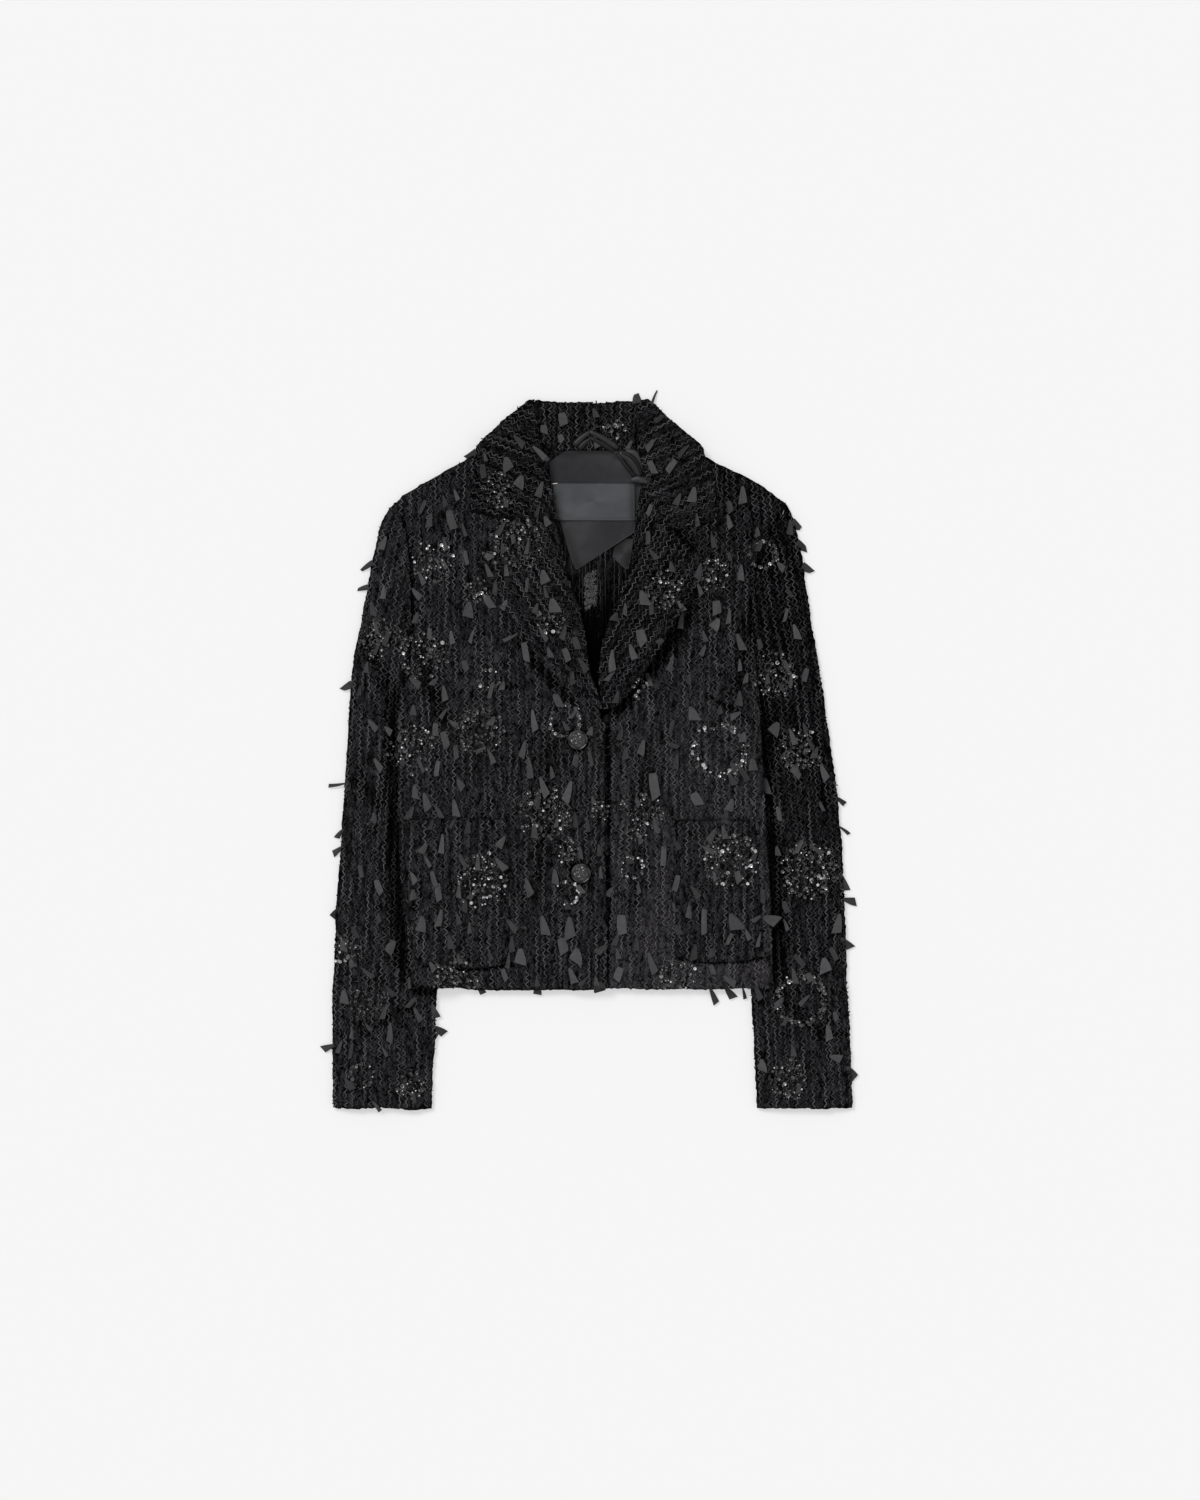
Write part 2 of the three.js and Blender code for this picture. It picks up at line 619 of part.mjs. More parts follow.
// A ribbon of one width along points, as a flat closed band lying at a height.
function band(points, width, baseZ, wall) {
  const normals = points.map((_, i) => {
    const before = points[Math.max(0, i - 1)];
    const after = points[Math.min(points.length - 1, i + 1)];
    return after.clone().sub(before).normalize().rotateAround(new THREE.Vector2(), Math.PI / 2);
  });
  const offset = (reach) => points.map((point, i) => point.clone().addScaledVector(normals[i], reach));
  const shape = new THREE.Shape([...offset(width / 2), ...offset(-width / 2).reverse()]);
  const geometry = new THREE.ExtrudeGeometry(shape, { depth: wall, bevelEnabled: false });
  geometry.translate(0, 0, baseZ);
  return geometry;
}

function makeHangerLoop() {
  const route = [
    [-19, 319],
    [-11, 328],
    [-3, 334.5],
    [4, 333],
    [16, 325],
    [26, 318.5],
  ].map(([x, y]) => new THREE.Vector2(x, y));
  return band(route, 4.6, COLLAR_STACK + CLOTH + SEAM, SATIN);
}

// Buttons: a low dome with a rim
const BUTTONS = [
  { name: "button_top", x: -14.6, y: 13.5 },
  { name: "button_low", x: -11.4, y: -124.8 },
];
const BUTTON_PROFILE = [
  { radius: 0, height: 0 },
  { radius: 8.2, height: 0 },
  { radius: 10, height: 1.6 },
  { radius: 9.6, height: 3.4 },
  { radius: 7.4, height: 4.6 },
  { radius: 3.6, height: 5.1 },
  { radius: 0, height: 5.2 },
];

function makeButton(front, { x, y }) {
  const profile = BUTTON_PROFILE.map(({ radius, height }) => new THREE.Vector2(radius, height));
  const geometry = new THREE.LatheGeometry(profile, 24);
  geometry.rotateX(Math.PI / 2);
  const reach = 10;
  const under = [-reach, 0, reach].flatMap((dx) => [-reach, 0, reach].map((dy) => [x + dx, y + dy]));
  const seat = Math.max(...under.map(([px, py]) => heightAt(front, -px, py)));
  geometry.translate(x, y, seat + REST);
  return geometry;
}

// Patch pockets, with round lower corners
const POCKET_CORNER = 22;
const POCKET_WALL = 2.2;
const POCKET_WELT = 14;

function makePocket(part, front) {
  const { topY, bottomY, inner, sideGap } = part.pocket;
  const cornerRows = [1, 0.62, 0.32, 0.12, 0].map((share) => bottomY + POCKET_CORNER * share);
  const rows = [topY, topY - POCKET_WELT + 1, topY - POCKET_WELT - 1, -100, -130, -160, ...cornerRows];
  const columns = (y) => {
    const low = Math.max(0, POCKET_CORNER - (y - bottomY));
    const cut = POCKET_CORNER - Math.sqrt(POCKET_CORNER ** 2 - low ** 2);
    const outer = part.edge(y) - sideGap;
    const ramp = SLEEVE_RAMP.map((step) => part.sleeveInner(y) - step);
    const plain = [inner, ...ramp, mix(ramp[3], outer, 0.55), outer - 4, outer];
    const squeeze = (outer - inner - 2 * cut) / (outer - inner);
    return plain.map((x) => inner + cut + (x - inner) * squeeze);
  };
  const bottom = (x, y) => heightAt(front, x, y) + 1.5 * REST;
  const top = (x, y) => {
    const xs = columns(y);
    const rim = Math.min(x - xs[0], xs.at(-1) - x, y - bottomY);
    const welt = 0.5 * clamp((y - topY + POCKET_WELT + 1) / 2);
    return bottom(x, y) + POCKET_WALL + welt - softEdge(rim, 4, 0.6);
  };
  return sheet(part, rows, columns, bottom, top);
}

// Ribbon yarns: a narrow strip along the cloth with cut ends standing off it. tabs is their number.
const wasm = await Module();
wasm.setup();

function solidOf(geometry) {
  const bare = geometry.clone();
  bare.deleteAttribute("normal");
  bare.deleteAttribute("uv");
  const merged = mergeVertices(bare);
  const mesh = new wasm.Mesh({
    numProp: 3,
    vertProperties: new Float32Array(merged.attributes.position.array),
    triVerts: new Uint32Array(merged.index.array),
  });
  return new wasm.Manifold(mesh);
}

function geometryOf(solid) {
  const mesh = solid.getMesh();
  const geometry = new THREE.BufferGeometry();
  geometry.setAttribute("position", new THREE.Float32BufferAttribute(mesh.vertProperties, 3));
  geometry.setIndex(Array.from(mesh.triVerts));
  return geometry;
}

// Repeatable scatter between -1 and 1 for the tab with this number
const scatter = (number) => (Math.sin(number * 127.1 + 11.7) * 43758.5453) % 1;

function makeTab(panel, x, y, turn, length, width) {
  const { part } = panel;
  const along = { x: Math.sin(turn), y: -Math.cos(turn) };
  const side = { x: -along.y, y: along.x };
  const base = heightAt(panel, x, y) + STRIP_REST;
  const end = heightAt(panel, x + along.x * length, y + along.y * length) + STRIP_REST;
  const stations = [
    { at: -0.6, half: TAB_ROOT / 2, z: base + 0.1 },
    { at: length, half: width / 2, z: Math.max(end, base) + TAB_RISE },
  ];
  const section = [
    { across: -1, up: 0 },
    { across: 1, up: 0 },
    { across: 1, up: STRIP_WALL },
    { across: -1, up: STRIP_WALL },
  ];
  const positions = stations.flatMap(({ at, half, z }) =>
    section.flatMap(({ across, up }) => [
      part.sign * (x + along.x * at + side.x * half * across),
      y + along.y * at + side.y * half * across,
      z + up,
    ]),
  );
  const faces = [];
  const quad = (a, b, c, d) => faces.push(...(part.sign > 0 ? [a, b, c, a, c, d] : [a, c, b, a, d, c]));
  for (let k = 0; k < 4; k++) {
    const next = (k + 1) % 4;
    quad(k, next, 4 + next, 4 + k);
  }
  quad(3, 2, 1, 0);
  quad(4, 5, 6, 7);
  const geometry = new THREE.BufferGeometry();
  geometry.setAttribute("position", new THREE.Float32BufferAttribute(positions, 3));
  geometry.setIndex(faces);
  return geometry;
}

function makeRibbon(panel, { x, toX, topY, bottomY, tabs, outward = 0, seed }) {
  const route = (y) => mix(x, toX, (topY - y) / (topY - bottomY));
  const inside = panel.rows.filter((y) => y < topY - 4 && y > bottomY + 4);
  const half = STRIP_WIDTH / 2;
  const columns = (y) => [route(y) - half, route(y) + half];
  const bottom = (px, y) => heightAt(panel, px, y) + STRIP_REST;
  const top = (px, y) => bottom(px, y) + STRIP_WALL;
  let solid = solidOf(sheet(panel.part, [topY, ...inside, bottomY], columns, bottom, top).geometry);
  for (let i = 0; i < tabs; i++) {
    const number = seed * 31 + i;
    const y = mix(topY - 3, bottomY + 6, (i + 0.3 + 0.4 * Math.abs(scatter(number))) / tabs);
    const turn = outward + 0.9 * scatter(number + 400);
    const length = 9 + 8 * Math.abs(scatter(number + 800));
    const width = 4 + 4 * Math.abs(scatter(number + 1200));
    solid = solid.add(solidOf(makeTab(panel, route(y), y, turn, length, width)));
  }
  return geometryOf(solid);
}

// Where the ribbon yarns run, in x outward from the middle
const FRONT_RIBBONS = {
  right: [
    { x: 160, toX: 168, topY: 254, bottomY: 96, tabs: 6 },
    { x: 104, toX: 116, topY: 136, bottomY: -60, tabs: 8 },
    { x: 60, toX: 44, topY: 66, bottomY: -232, tabs: 11 },
  ],
  left: [
    { x: 152, toX: 142, topY: 254, bottomY: 96, tabs: 6 },
    { x: 108, toX: 120, topY: 136, bottomY: -60, tabs: 8 },
    { x: 66, toX: 52, topY: 60, bottomY: -232, tabs: 11 },
  ],
};
const SLEEVE_RIBBONS = {
  right: [
    { x: 214, toX: 246, topY: 206, bottomY: -60, tabs: 8, outward: 0.9 },
    { x: 252, toX: 258, topY: -95, bottomY: -360, tabs: 8, outward: 0.9 },
  ],
  left: [
    { x: 206, toX: 242, topY: 206, bottomY: -60, tabs: 8, outward: 0.9 },
    { x: 248, toX: 258, topY: -95, bottomY: -360, tabs: 8, outward: 0.9 },
  ],
};
const LAPEL_RIBBONS = {
  right: [{ x: 66, toX: 40, topY: 214, bottomY: 112, tabs: 5 }],
  left: [{ x: 76, toX: 46, topY: 214, bottomY: 112, tabs: 5 }],
};

function addRibbons(place, panel, rows, firstSeed) {
  rows.forEach((row, i) => {
    const geometry = makeRibbon(panel, { ...row, seed: firstSeed + i });
    add(`ribbon_${place}_${panel.part.side}_${i + 1}`, geometry, RIBBON);
  });
}

const fronts = {};
for (const part of SIDES) {
  const { side } = part;
  const front = makeFront(part);
  const upperSleeve = makeUpperSleeve(part);
  const lapel = makeLapel(part, front);
  fronts[side] = front;
  add(`back_${side}`, makeBack(part).geometry, TWEED);
  add(`front_${side}`, front.geometry, TWEED);
  add(`under_sleeve_${side}`, makeUnderSleeve(part).geometry, TWEED);
  add(`upper_sleeve_${side}`, upperSleeve.geometry, TWEED);
  add(`lapel_${side}`, lapel.geometry, TWEED);
  add(`collar_leaf_${side}`, makeLeaf(part, front).geometry, TWEED);
  add(`pocket_${side}`, makePocket(part, front).geometry, TWEED);
  const seed = part === RIGHT ? 10 : 50;
  addRibbons("front", front, FRONT_RIBBONS[side], seed);
  addRibbons("sleeve", upperSleeve, SLEEVE_RIBBONS[side], seed + 10);
  addRibbons("lapel", lapel, LAPEL_RIBBONS[side], seed + 20);
}

const lining = makeLining();
add("collar_stand", makeStand().geometry, TWEED);
add("collar_fall", makeFall().geometry, TWEED);
add("neck_lining", lining.geometry, LINING);
add("lining_flap", makeLiningFlap().geometry, LINING);
add("label", makeLabel(lining).geometry, LABEL);
add("hanger_loop", makeHangerLoop(), LINING);
for (const button of BUTTONS) add(button.name, makeButton(fronts.right, button), BUTTON);

// The origin is on the table, under the middle of the blazer's box.
const box = new THREE.Box3().setFromObject(blazer);
const middle = box.getCenter(new THREE.Vector3());
blazer.position.set(-middle.x, -middle.y, 0);

export default blazer;
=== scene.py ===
# The looks of a cropped tweed blazer laid flat, around its solids: fine cloth shells with zigzag yarns,
# boucle loops, ribbon ends, sequins and beads, satin inside the neck, and domed buttons.
# Tables are in millimetres from the middle of the garment, and everything made is in metres.
import math

import bpy
import numpy as np
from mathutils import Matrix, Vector
from mathutils.bvhtree import BVHTree


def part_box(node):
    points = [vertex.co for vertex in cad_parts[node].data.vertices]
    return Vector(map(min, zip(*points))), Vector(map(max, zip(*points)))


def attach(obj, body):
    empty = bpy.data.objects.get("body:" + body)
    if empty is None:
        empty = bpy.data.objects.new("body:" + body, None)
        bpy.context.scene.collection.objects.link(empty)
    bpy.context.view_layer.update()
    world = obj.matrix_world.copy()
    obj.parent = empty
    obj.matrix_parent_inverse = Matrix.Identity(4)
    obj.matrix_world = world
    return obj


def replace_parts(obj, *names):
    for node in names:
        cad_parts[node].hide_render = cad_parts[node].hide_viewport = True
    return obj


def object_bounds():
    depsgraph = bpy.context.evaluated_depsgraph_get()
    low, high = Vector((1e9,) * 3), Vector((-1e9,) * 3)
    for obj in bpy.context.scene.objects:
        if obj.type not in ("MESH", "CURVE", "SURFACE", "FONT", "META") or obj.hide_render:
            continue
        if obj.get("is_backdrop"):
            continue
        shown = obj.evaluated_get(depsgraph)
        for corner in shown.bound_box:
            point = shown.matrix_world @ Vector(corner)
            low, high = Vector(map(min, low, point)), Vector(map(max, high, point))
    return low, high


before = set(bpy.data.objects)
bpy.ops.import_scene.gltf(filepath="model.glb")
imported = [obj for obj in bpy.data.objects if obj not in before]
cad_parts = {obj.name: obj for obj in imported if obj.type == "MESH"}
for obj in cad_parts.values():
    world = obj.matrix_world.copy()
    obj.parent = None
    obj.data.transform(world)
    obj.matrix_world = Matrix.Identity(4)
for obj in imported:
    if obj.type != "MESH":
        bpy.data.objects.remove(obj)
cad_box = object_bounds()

MM = 0.001
# Keeps a vector without length from being divided by nought
TINY = 1e-12
# The label's middle in the garment's own millimetres gives the frame's origin
LABEL_MIDDLE = (2.1, 261.05)
label_low, label_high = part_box("label")
SHIFT = np.array([(label_low[k] + label_high[k]) / 2 - LABEL_MIDDLE[k] * MM for k in (0, 1)])

# Camera: straight above, framed as the photograph
VIEW_MIDDLE = (8.3, 3.1)
VIEW_HEIGHT = 1560.0
CAMERA_HEIGHT = 5.0

# Steps of the grids that the shells are made of
CLOTH_STEP = 2.8 * MM
SMALL_STEP = 1.8 * MM
HIDDEN_STEP = 5.0 * MM
# How far inside a solid's outline its grid ends, and how far inside it the heights are taken
OUTLINE_INSET = 0.1 * MM
PROBE_INSET = 0.25 * MM
# A trough of this depth in mm gets the full painted shade
FULL_SHADE_DEPTH = 2.5
# The share of the cloth's tone that full painted shade takes away
PAINTED_SHADE_SHARE = 0.75
# The share of a crease over which it fades out at each end, and how far past its end that fade is over
CREASE_FADE = 0.25
CREASE_OVERRUN = 0.08
# How far up or down a waving edge draws the cloth
SAG_REACH = 26.0
# Uneven bumps of the cloth: how many waves they add up, how long a wave is, and what divides their sum
NUB_WAVES = 14
NUB_LENGTHS = (4.0, 10.0)
NUB_SUM = 4.0
# Loops of a shell's rim: the share of the edge's height, and the share of the rim's width or mm inwards
RIM_LOOPS = ((0.3, 1.0), (0.65, 1.0), (0.95, 0.3), (1.0, -1.6))
# How far the boucle stands past a free edge, and how far beyond a free edge no other panel lies
FREE_RIM = 0.55
FREE_REACH = 4.0
# Least and most of the rim's fine bumps, and the share and stretch of its slow ones
RIM_BUMPS = (-0.8, 2.0)
SLOW_BUMPS = 0.9
SLOW_STRETCH = 6

# Zigzag yarns
YARN_SPACING = 4.6
YARN_STRAY = 1.6
YARN_RADIUS = 0.62
YARN_AMPLITUDE = 1.8
YARN_PERIOD = 6.8
SHORTEST_YARN = 6
# How a yarn swings, wanders and rises: shares of its amplitude, lengths of its waves in steps, and mm
YARN_SWINGS = (0.45, 1.25)
YARN_WANDER = 1.1
WANDER_LENGTHS = (6, 40)
YARN_JITTER = 0.6
YARN_RISE = 0.4
RISE_LENGTHS = (9, 16)
# How its tone changes along it
TONE_CHANGE = 0.4
TONE_LENGTHS = (3, 16)
TONE_SPREAD = 0.13
# Tone, thickness and height over the cloth: yarns are bold and fine in turn
BOLD_YARN = (0.6, 1.1, 0.9)
FINE_YARN = (0.26, 0.95, 0.5)
# How far a yarn runs out over an edge, and how far inside a pocket's edge it ends
EDGE_OVERHANG = 1.3
POCKET_INSET = 1.0
# Boucle loops: half their length, their bow sideways and upwards, and their radius
LOOPS_PER_MM2 = 0.058
LOOP_OVERHANG = 0.5
LOOP_HALVES = (1.1, 2.6)
LOOP_BOW = 0.9
LOOP_RISES = (0.2, 1.3)
LOOP_RADII = (0.4, 0.8)
# How far they slant either way and stray from that, in radians, and the curve that their tones are drawn from
LOOP_SLANT = 0.7
LOOP_SPREAD = 0.5
LOOP_TONES = (0.8, 1.8)


def place(x, y):
    """Metres in the frame for garment millimetres."""
    return np.asarray(x) * MM + SHIFT[0], np.asarray(y) * MM + SHIFT[1]


def points_at(x, y, z):
    """Points in the frame for garment millimetres and a height in metres."""
    return np.stack([*place(x, y), z], -1)


def unit(vectors):
    """Vectors brought to a length of one."""
    return vectors / (np.linalg.norm(vectors, axis=-1, keepdims=True) + TINY)


def ease(t):
    """A smooth step from 0 to 1."""
    t = np.clip(t, 0, 1)
    return t * t * (3 - 2 * t)


# Meshes

def add_to_scene(name, data):
    made = bpy.data.objects.new(name, data)
    bpy.context.scene.collection.objects.link(made)
    return made


def make_object(name, vertices, faces, material, shade, uv=None, smooth=True):
    """A mesh that rides on the root, with a shade for each vertex that its material reads."""
    mesh = bpy.data.meshes.new(name)
    mesh.from_pydata(np.asarray(vertices).tolist(), [], faces)
    if uv is not None:
        corners = np.empty(len(mesh.loops), np.int32)
        mesh.loops.foreach_get("vertex_index", corners)
        layer = mesh.uv_layers.new(name="grain")
        layer.data.foreach_set("uv", np.asarray(uv, np.float32)[corners].ravel())
    attribute = mesh.attributes.new("shade", "FLOAT", "POINT")
    attribute.data.foreach_set("value", np.asarray(shade, np.float32))
    mesh.polygons.foreach_set("use_smooth", [smooth] * len(mesh.polygons))
    mesh.materials.append(material)
    mesh.update()
    made = add_to_scene(name, mesh)
    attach(made, "root")
    return made


class Heap:
    """Collects many small pieces into one mesh."""

    def __init__(self):
        self.vertices, self.faces, self.shades, self.count = [], [], [], 0

    def add(self, vertices, blocks, shade):
        """Each block is an array of faces with the same number of sides."""
        vertices = np.asarray(vertices, float).reshape(-1, 3)
        self.vertices.append(vertices)
        self.faces += [np.asarray(block) + self.count for block in blocks]
        self.shades.append(np.broadcast_to(np.asarray(shade, float), len(vertices)))
        self.count += len(vertices)

    def build(self, name, material, slot, smooth=True):
        vertices, shades = np.concatenate(self.vertices), np.concatenate(self.shades)
        faces = [face for block in self.faces for face in block.tolist()]
        return make_object(name, vertices, faces, material, shades, smooth=smooth)


def walls_between(index):
    """Quads from each ring of a grid of vertices to the next ring."""
    after = np.roll(index, -1, axis=1)
    return np.stack([index[:-1], index[1:], after[1:], after[:-1]], -1).reshape(-1, 4)


# No strand runs in this direction, so that a tube's sides can be turned from it
NEARLY_UP = np.array([0.13, 0.07, 1.0])


def add_tubes(heap, paths, radius, shade, sides=3):
    """Closed tubes along paths of (count, stations, 3), with a radius and a shade a tube or a station."""
    count, stations, _ = paths.shape
    radius, shade = (
        np.broadcast_to(np.asarray(values, float).reshape(count, -1), (count, stations))
        for values in (radius, shade)
    )
    tangent = unit(np.gradient(paths, axis=1))
    side = unit(np.cross(tangent, NEARLY_UP))
    lift = np.cross(side, tangent)
    rings = []
    for k in range(sides):
        turn = 2 * math.pi * k / sides + 0.5 * math.pi
        rings.append(paths + radius[..., None] * (math.cos(turn) * side + math.sin(turn) * lift))
    index = np.arange(count * stations * sides).reshape(count, stations, sides)
    after = np.roll(index, -1, axis=2)
    walls = np.stack([index[:, :-1], after[:, :-1], after[:, 1:], index[:, 1:]], axis=-1).reshape(-1, 4)
    ends = np.concatenate([index[:, 0, ::-1], index[:, -1]])
    heap.add(np.stack(rings, axis=2), [walls, ends], np.repeat(shade.ravel(), sides))


def strip(heap, points, widths, shade, thickness=0.5, cup=0.0, skew=0.0):
    """A flat ribbon along points in metres, with one width in mm a point, closed all round. Cup lifts its
    sides, and skew slants its cut end, both in mm."""
    along = np.gradient(np.asarray(points, float), axis=0)
    side = unit(np.cross(along, (0, 0, 1.0)))
    half = np.asarray(widths, float)[:, None] * 0.5 * MM
    up = np.array([0, 0, thickness * MM])
    lift = np.array([0, 0, cup * MM])
    rings = [points - side * half + lift + up, points + up, points + side * half + lift + up]
    rings += [points + side * half + lift, points, points - side * half + lift]
    vertices = np.stack(rings, axis=1)
    ahead = unit(along[-1]) * skew * MM
    vertices[-1, [0, 5]] -= ahead
    vertices[-1, [2, 3]] += ahead
    stations, sides = vertices.shape[:2]
    index = np.arange(stations * sides).reshape(stations, sides)
    start, end = index[0], index[-1][::-1]
    ends = [ring[corners] for ring in (start, end) for corners in ([0, 1, 4, 5], [1, 2, 3, 4])]
    heap.add(vertices, [walls_between(index), ends], shade)


# Panels

def blur(values, passes):
    """A grid smoothed along both of its axes."""
    for _ in range(passes):
        for axis in (0, 1):
            size = values.shape[axis]
            padded = np.concatenate([np.take(values, [0], axis), values, np.take(values, [-1], axis)], axis)
            low, high = (np.take(padded, range(start, start + size), axis) for start in (0, 2))
            values = 0.25 * low + 0.5 * values + 0.25 * high
    return values


def nubs(x, y, seed):
    """Uneven bumps between about -1 and 1, the same each run."""
    draws = np.random.RandomState(seed)
    total = np.zeros(np.shape(x))
    for _ in range(NUB_WAVES):
        angle = draws.uniform(0, math.pi)
        wave = draws.uniform(*NUB_LENGTHS) * MM
        phase = draws.uniform(0, 2 * math.pi)
        total += np.sin((x * math.cos(angle) + y * math.sin(angle)) * 2 * math.pi / wave + phase)
    return total / NUB_SUM


class Panel:
    """A fine grid over one face of a cloth solid. Rows run from the collar down, columns from -X to +X."""

    def __init__(self, node, step, up=True, window=None, passes=6, trim=None):
        """Window is a box (x0, x1, y0, y1) in metres to stay in. Passes smooth the heights. Trim moves the
        left edge in, by mm at each height."""
        self.node, self.up = node, up
        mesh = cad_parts[node].data
        mesh.calc_loop_triangles()
        points = np.array([v.co[:] for v in mesh.vertices])
        triangles = np.array([t.vertices[:] for t in mesh.loop_triangles])
        self.tree = BVHTree.FromPolygons(points.tolist(), triangles.tolist())
        self.low, self.high = points.min(0), points.max(0)
        bottom_y, top_y = self.low[1] + OUTLINE_INSET, self.high[1] - OUTLINE_INSET
        if window:
            bottom_y, top_y = max(bottom_y, window[2]), min(top_y, window[3])
        self.ys = np.linspace(top_y, bottom_y, max(3, round((top_y - bottom_y) / step) + 1))
        self.trace_edges(points[triangles], points[np.roll(triangles, -1, axis=1)])
        if window:
            self.left = np.maximum(self.left, window[0])
            self.right = np.maximum(np.minimum(self.right, window[1]), self.left + 0.5 * MM)
        if trim:
            self.left += np.interp(self.ys - SHIFT[1], *np.array(trim).T * MM)
        widths = (self.right - self.left)[:, None]
        columns = max(4, round(float(np.max(widths)) / step) + 1)
        self.x = self.left[:, None] + widths * np.linspace(0, 1, columns)
        self.y = np.repeat(self.ys[:, None], columns, axis=1)
        inset = np.minimum(PROBE_INSET, 0.1 * widths)
        probe = np.clip(self.x, self.left[:, None] + inset, self.right[:, None] - inset)
        self.z = blur(self.cast(probe, self.y, up), passes)
        self.far = self.cast(probe, self.y, not up)
        # Painted shade, from 0 to 1, that darkens the cloth's colour
        self.painted_shade = np.zeros_like(self.z)

    def trace_edges(self, starts, ends):
        """The outermost places where each row crosses the sides of the solid's triangles."""
        starts, ends = starts.reshape(-1, 3), ends.reshape(-1, 3)
        level = np.abs(starts[:, 1] - ends[:, 1]) <= 1e-9
        self.left, self.right = np.empty(len(self.ys)), np.empty(len(self.ys))
        for i, y in enumerate(self.ys):
            crosses = ((starts[:, 1] - y) * (ends[:, 1] - y) <= 0) & ~level
            a, b = starts[crosses], ends[crosses]
            xs = a[:, 0] + (b[:, 0] - a[:, 0]) * (y - a[:, 1]) / (b[:, 1] - a[:, 1])
            self.left[i], self.right[i] = xs.min(), xs.max()

    def cast(self, x, y, down):
        """Height of the solid's top (down) or underside at each point."""
        start, direction = (1.0, Vector((0, 0, -1))) if down else (-1.0, Vector((0, 0, 1)))
        heights = np.full(x.shape, np.nan)
        for spot in np.ndindex(x.shape):
            hit = self.tree.ray_cast(Vector((x[spot], y[spot], start)), direction)[0]
            if hit:
                heights[spot] = hit.z
        for i, row in enumerate(heights):
            known = np.flatnonzero(~np.isnan(row))
            if len(known):
                row[:] = np.interp(np.arange(len(row)), known, row[known])
            elif i:
                row[:] = heights[i - 1]
        return heights

    def area(self):
        """Area inside the outline, in mm²."""
        return np.sum(self.right - self.left) * abs(self.ys[0] - self.ys[1]) / MM**2

    def edges(self, y):
        """Left and right edge at each y."""
        return np.interp(-y, -self.ys, self.left), np.interp(-y, -self.ys, self.right)

    def inside(self, x, y):
        """How far inside the outline each point is."""
        left, right = self.edges(y)
        return np.minimum(np.minimum(x - left, right - x), np.minimum(self.ys[0] - y, y - self.ys[-1]))

    def sample(self, values, x, y):
        """Values of the grid at each point."""
        rows, columns = values.shape
        r = np.clip((self.ys[0] - y) / (self.ys[0] - self.ys[-1]) * (rows - 1), 0, rows - 1.001)
        left, right = self.edges(y)
        c = np.clip((x - left) / np.maximum(right - left, 1e-6) * (columns - 1), 0, columns - 1.001)
        i, j = r.astype(int), c.astype(int)
        fr, fc = r - i, c - j
        upper = values[i, j] * (1 - fc) + values[i, j + 1] * fc
        lower = values[i + 1, j] * (1 - fc) + values[i + 1, j + 1] * fc
        return upper * (1 - fr) + lower * fr

    def crease(self, start, end, depth, width, lift=False, paint_amount=None):
        """A soft trough (negative depth) or ridge between two points. With lift, the underside follows it,
        and the cloth stands off what is below. A trough also paints shade into the cloth's colour, as much as
        the
        last argument says: 1 is the full painted shade."""
        (x0, y0), (x1, y1) = (place(*point) for point in (start, end))
        dx, dy = x1 - x0, y1 - y0
        t = np.clip(((self.x - x0) * dx + (self.y - y0) * dy) / (dx * dx + dy * dy), 0, 1)
        away = np.hypot(self.x - x0 - t * dx, self.y - y0 - t * dy) / (width * MM)
        nearest_end = np.minimum(t, 1 - t) + CREASE_OVERRUN
        share = np.exp(-(away**2)) * ease(nearest_end / CREASE_FADE)
        self.z += depth * MM * share
        if depth < 0:
            painted_share = paint_amount if paint_amount else min(1.0, -depth / FULL_SHADE_DEPTH)
            self.painted_shade = np.maximum(self.painted_shade, share * painted_share)
        if lift:
            self.far += depth * MM * share

    def groove(self, x, y, radius, depth, width):
        """A round trough about a point in metres, such as a button presses into the cloth, with painted shade
        along it.
        """
        away = (np.hypot(self.x - x, self.y - y) - radius) / (width * MM)
        share = np.exp(-(away**2))
        self.z -= depth * MM * share
        self.painted_shade = np.maximum(self.painted_shade, share)

    def sag(self, drops, edge=0):
        """Draws the top edge (0) or the bottom edge (-1), and the cloth near it, down, by a drop a width."""
        drop = np.interp(self.x - SHIFT[0], *np.array(drops).T * MM)
        self.y -= drop * ease(1 - np.abs(self.ys[edge] - self.y) / (SAG_REACH * MM))

    def darken(self, top, bottom):
        """Painted soft shade from the top edge to the bottom edge. A negative value is painted light."""
        shaded = np.interp(self.y, (self.ys[-1], self.ys[0]), (bottom, top))
        self.painted_shade = shaded + (1 - shaded) * self.painted_shade

    def free_edge(self, border, out, rim, seed):
        """Widths of the rim: uneven, by the boucle's own, where the edge is free."""
        x, y, _ = border.T
        slow = 1 + nubs(x / SLOW_STRETCH, y / SLOW_STRETCH, seed + 90)
        bumps = np.clip(nubs(x, y, seed + 60), *RIM_BUMPS) + SLOW_BUMPS * slow
        beyond = border[:, :2] + out * FREE_REACH * MM
        covered = np.any([other.inside(*beyond.T) > 0 for other in panels.values()], axis=0)
        return np.where(covered, rim, FREE_RIM * (1 + bumps))[:, None]

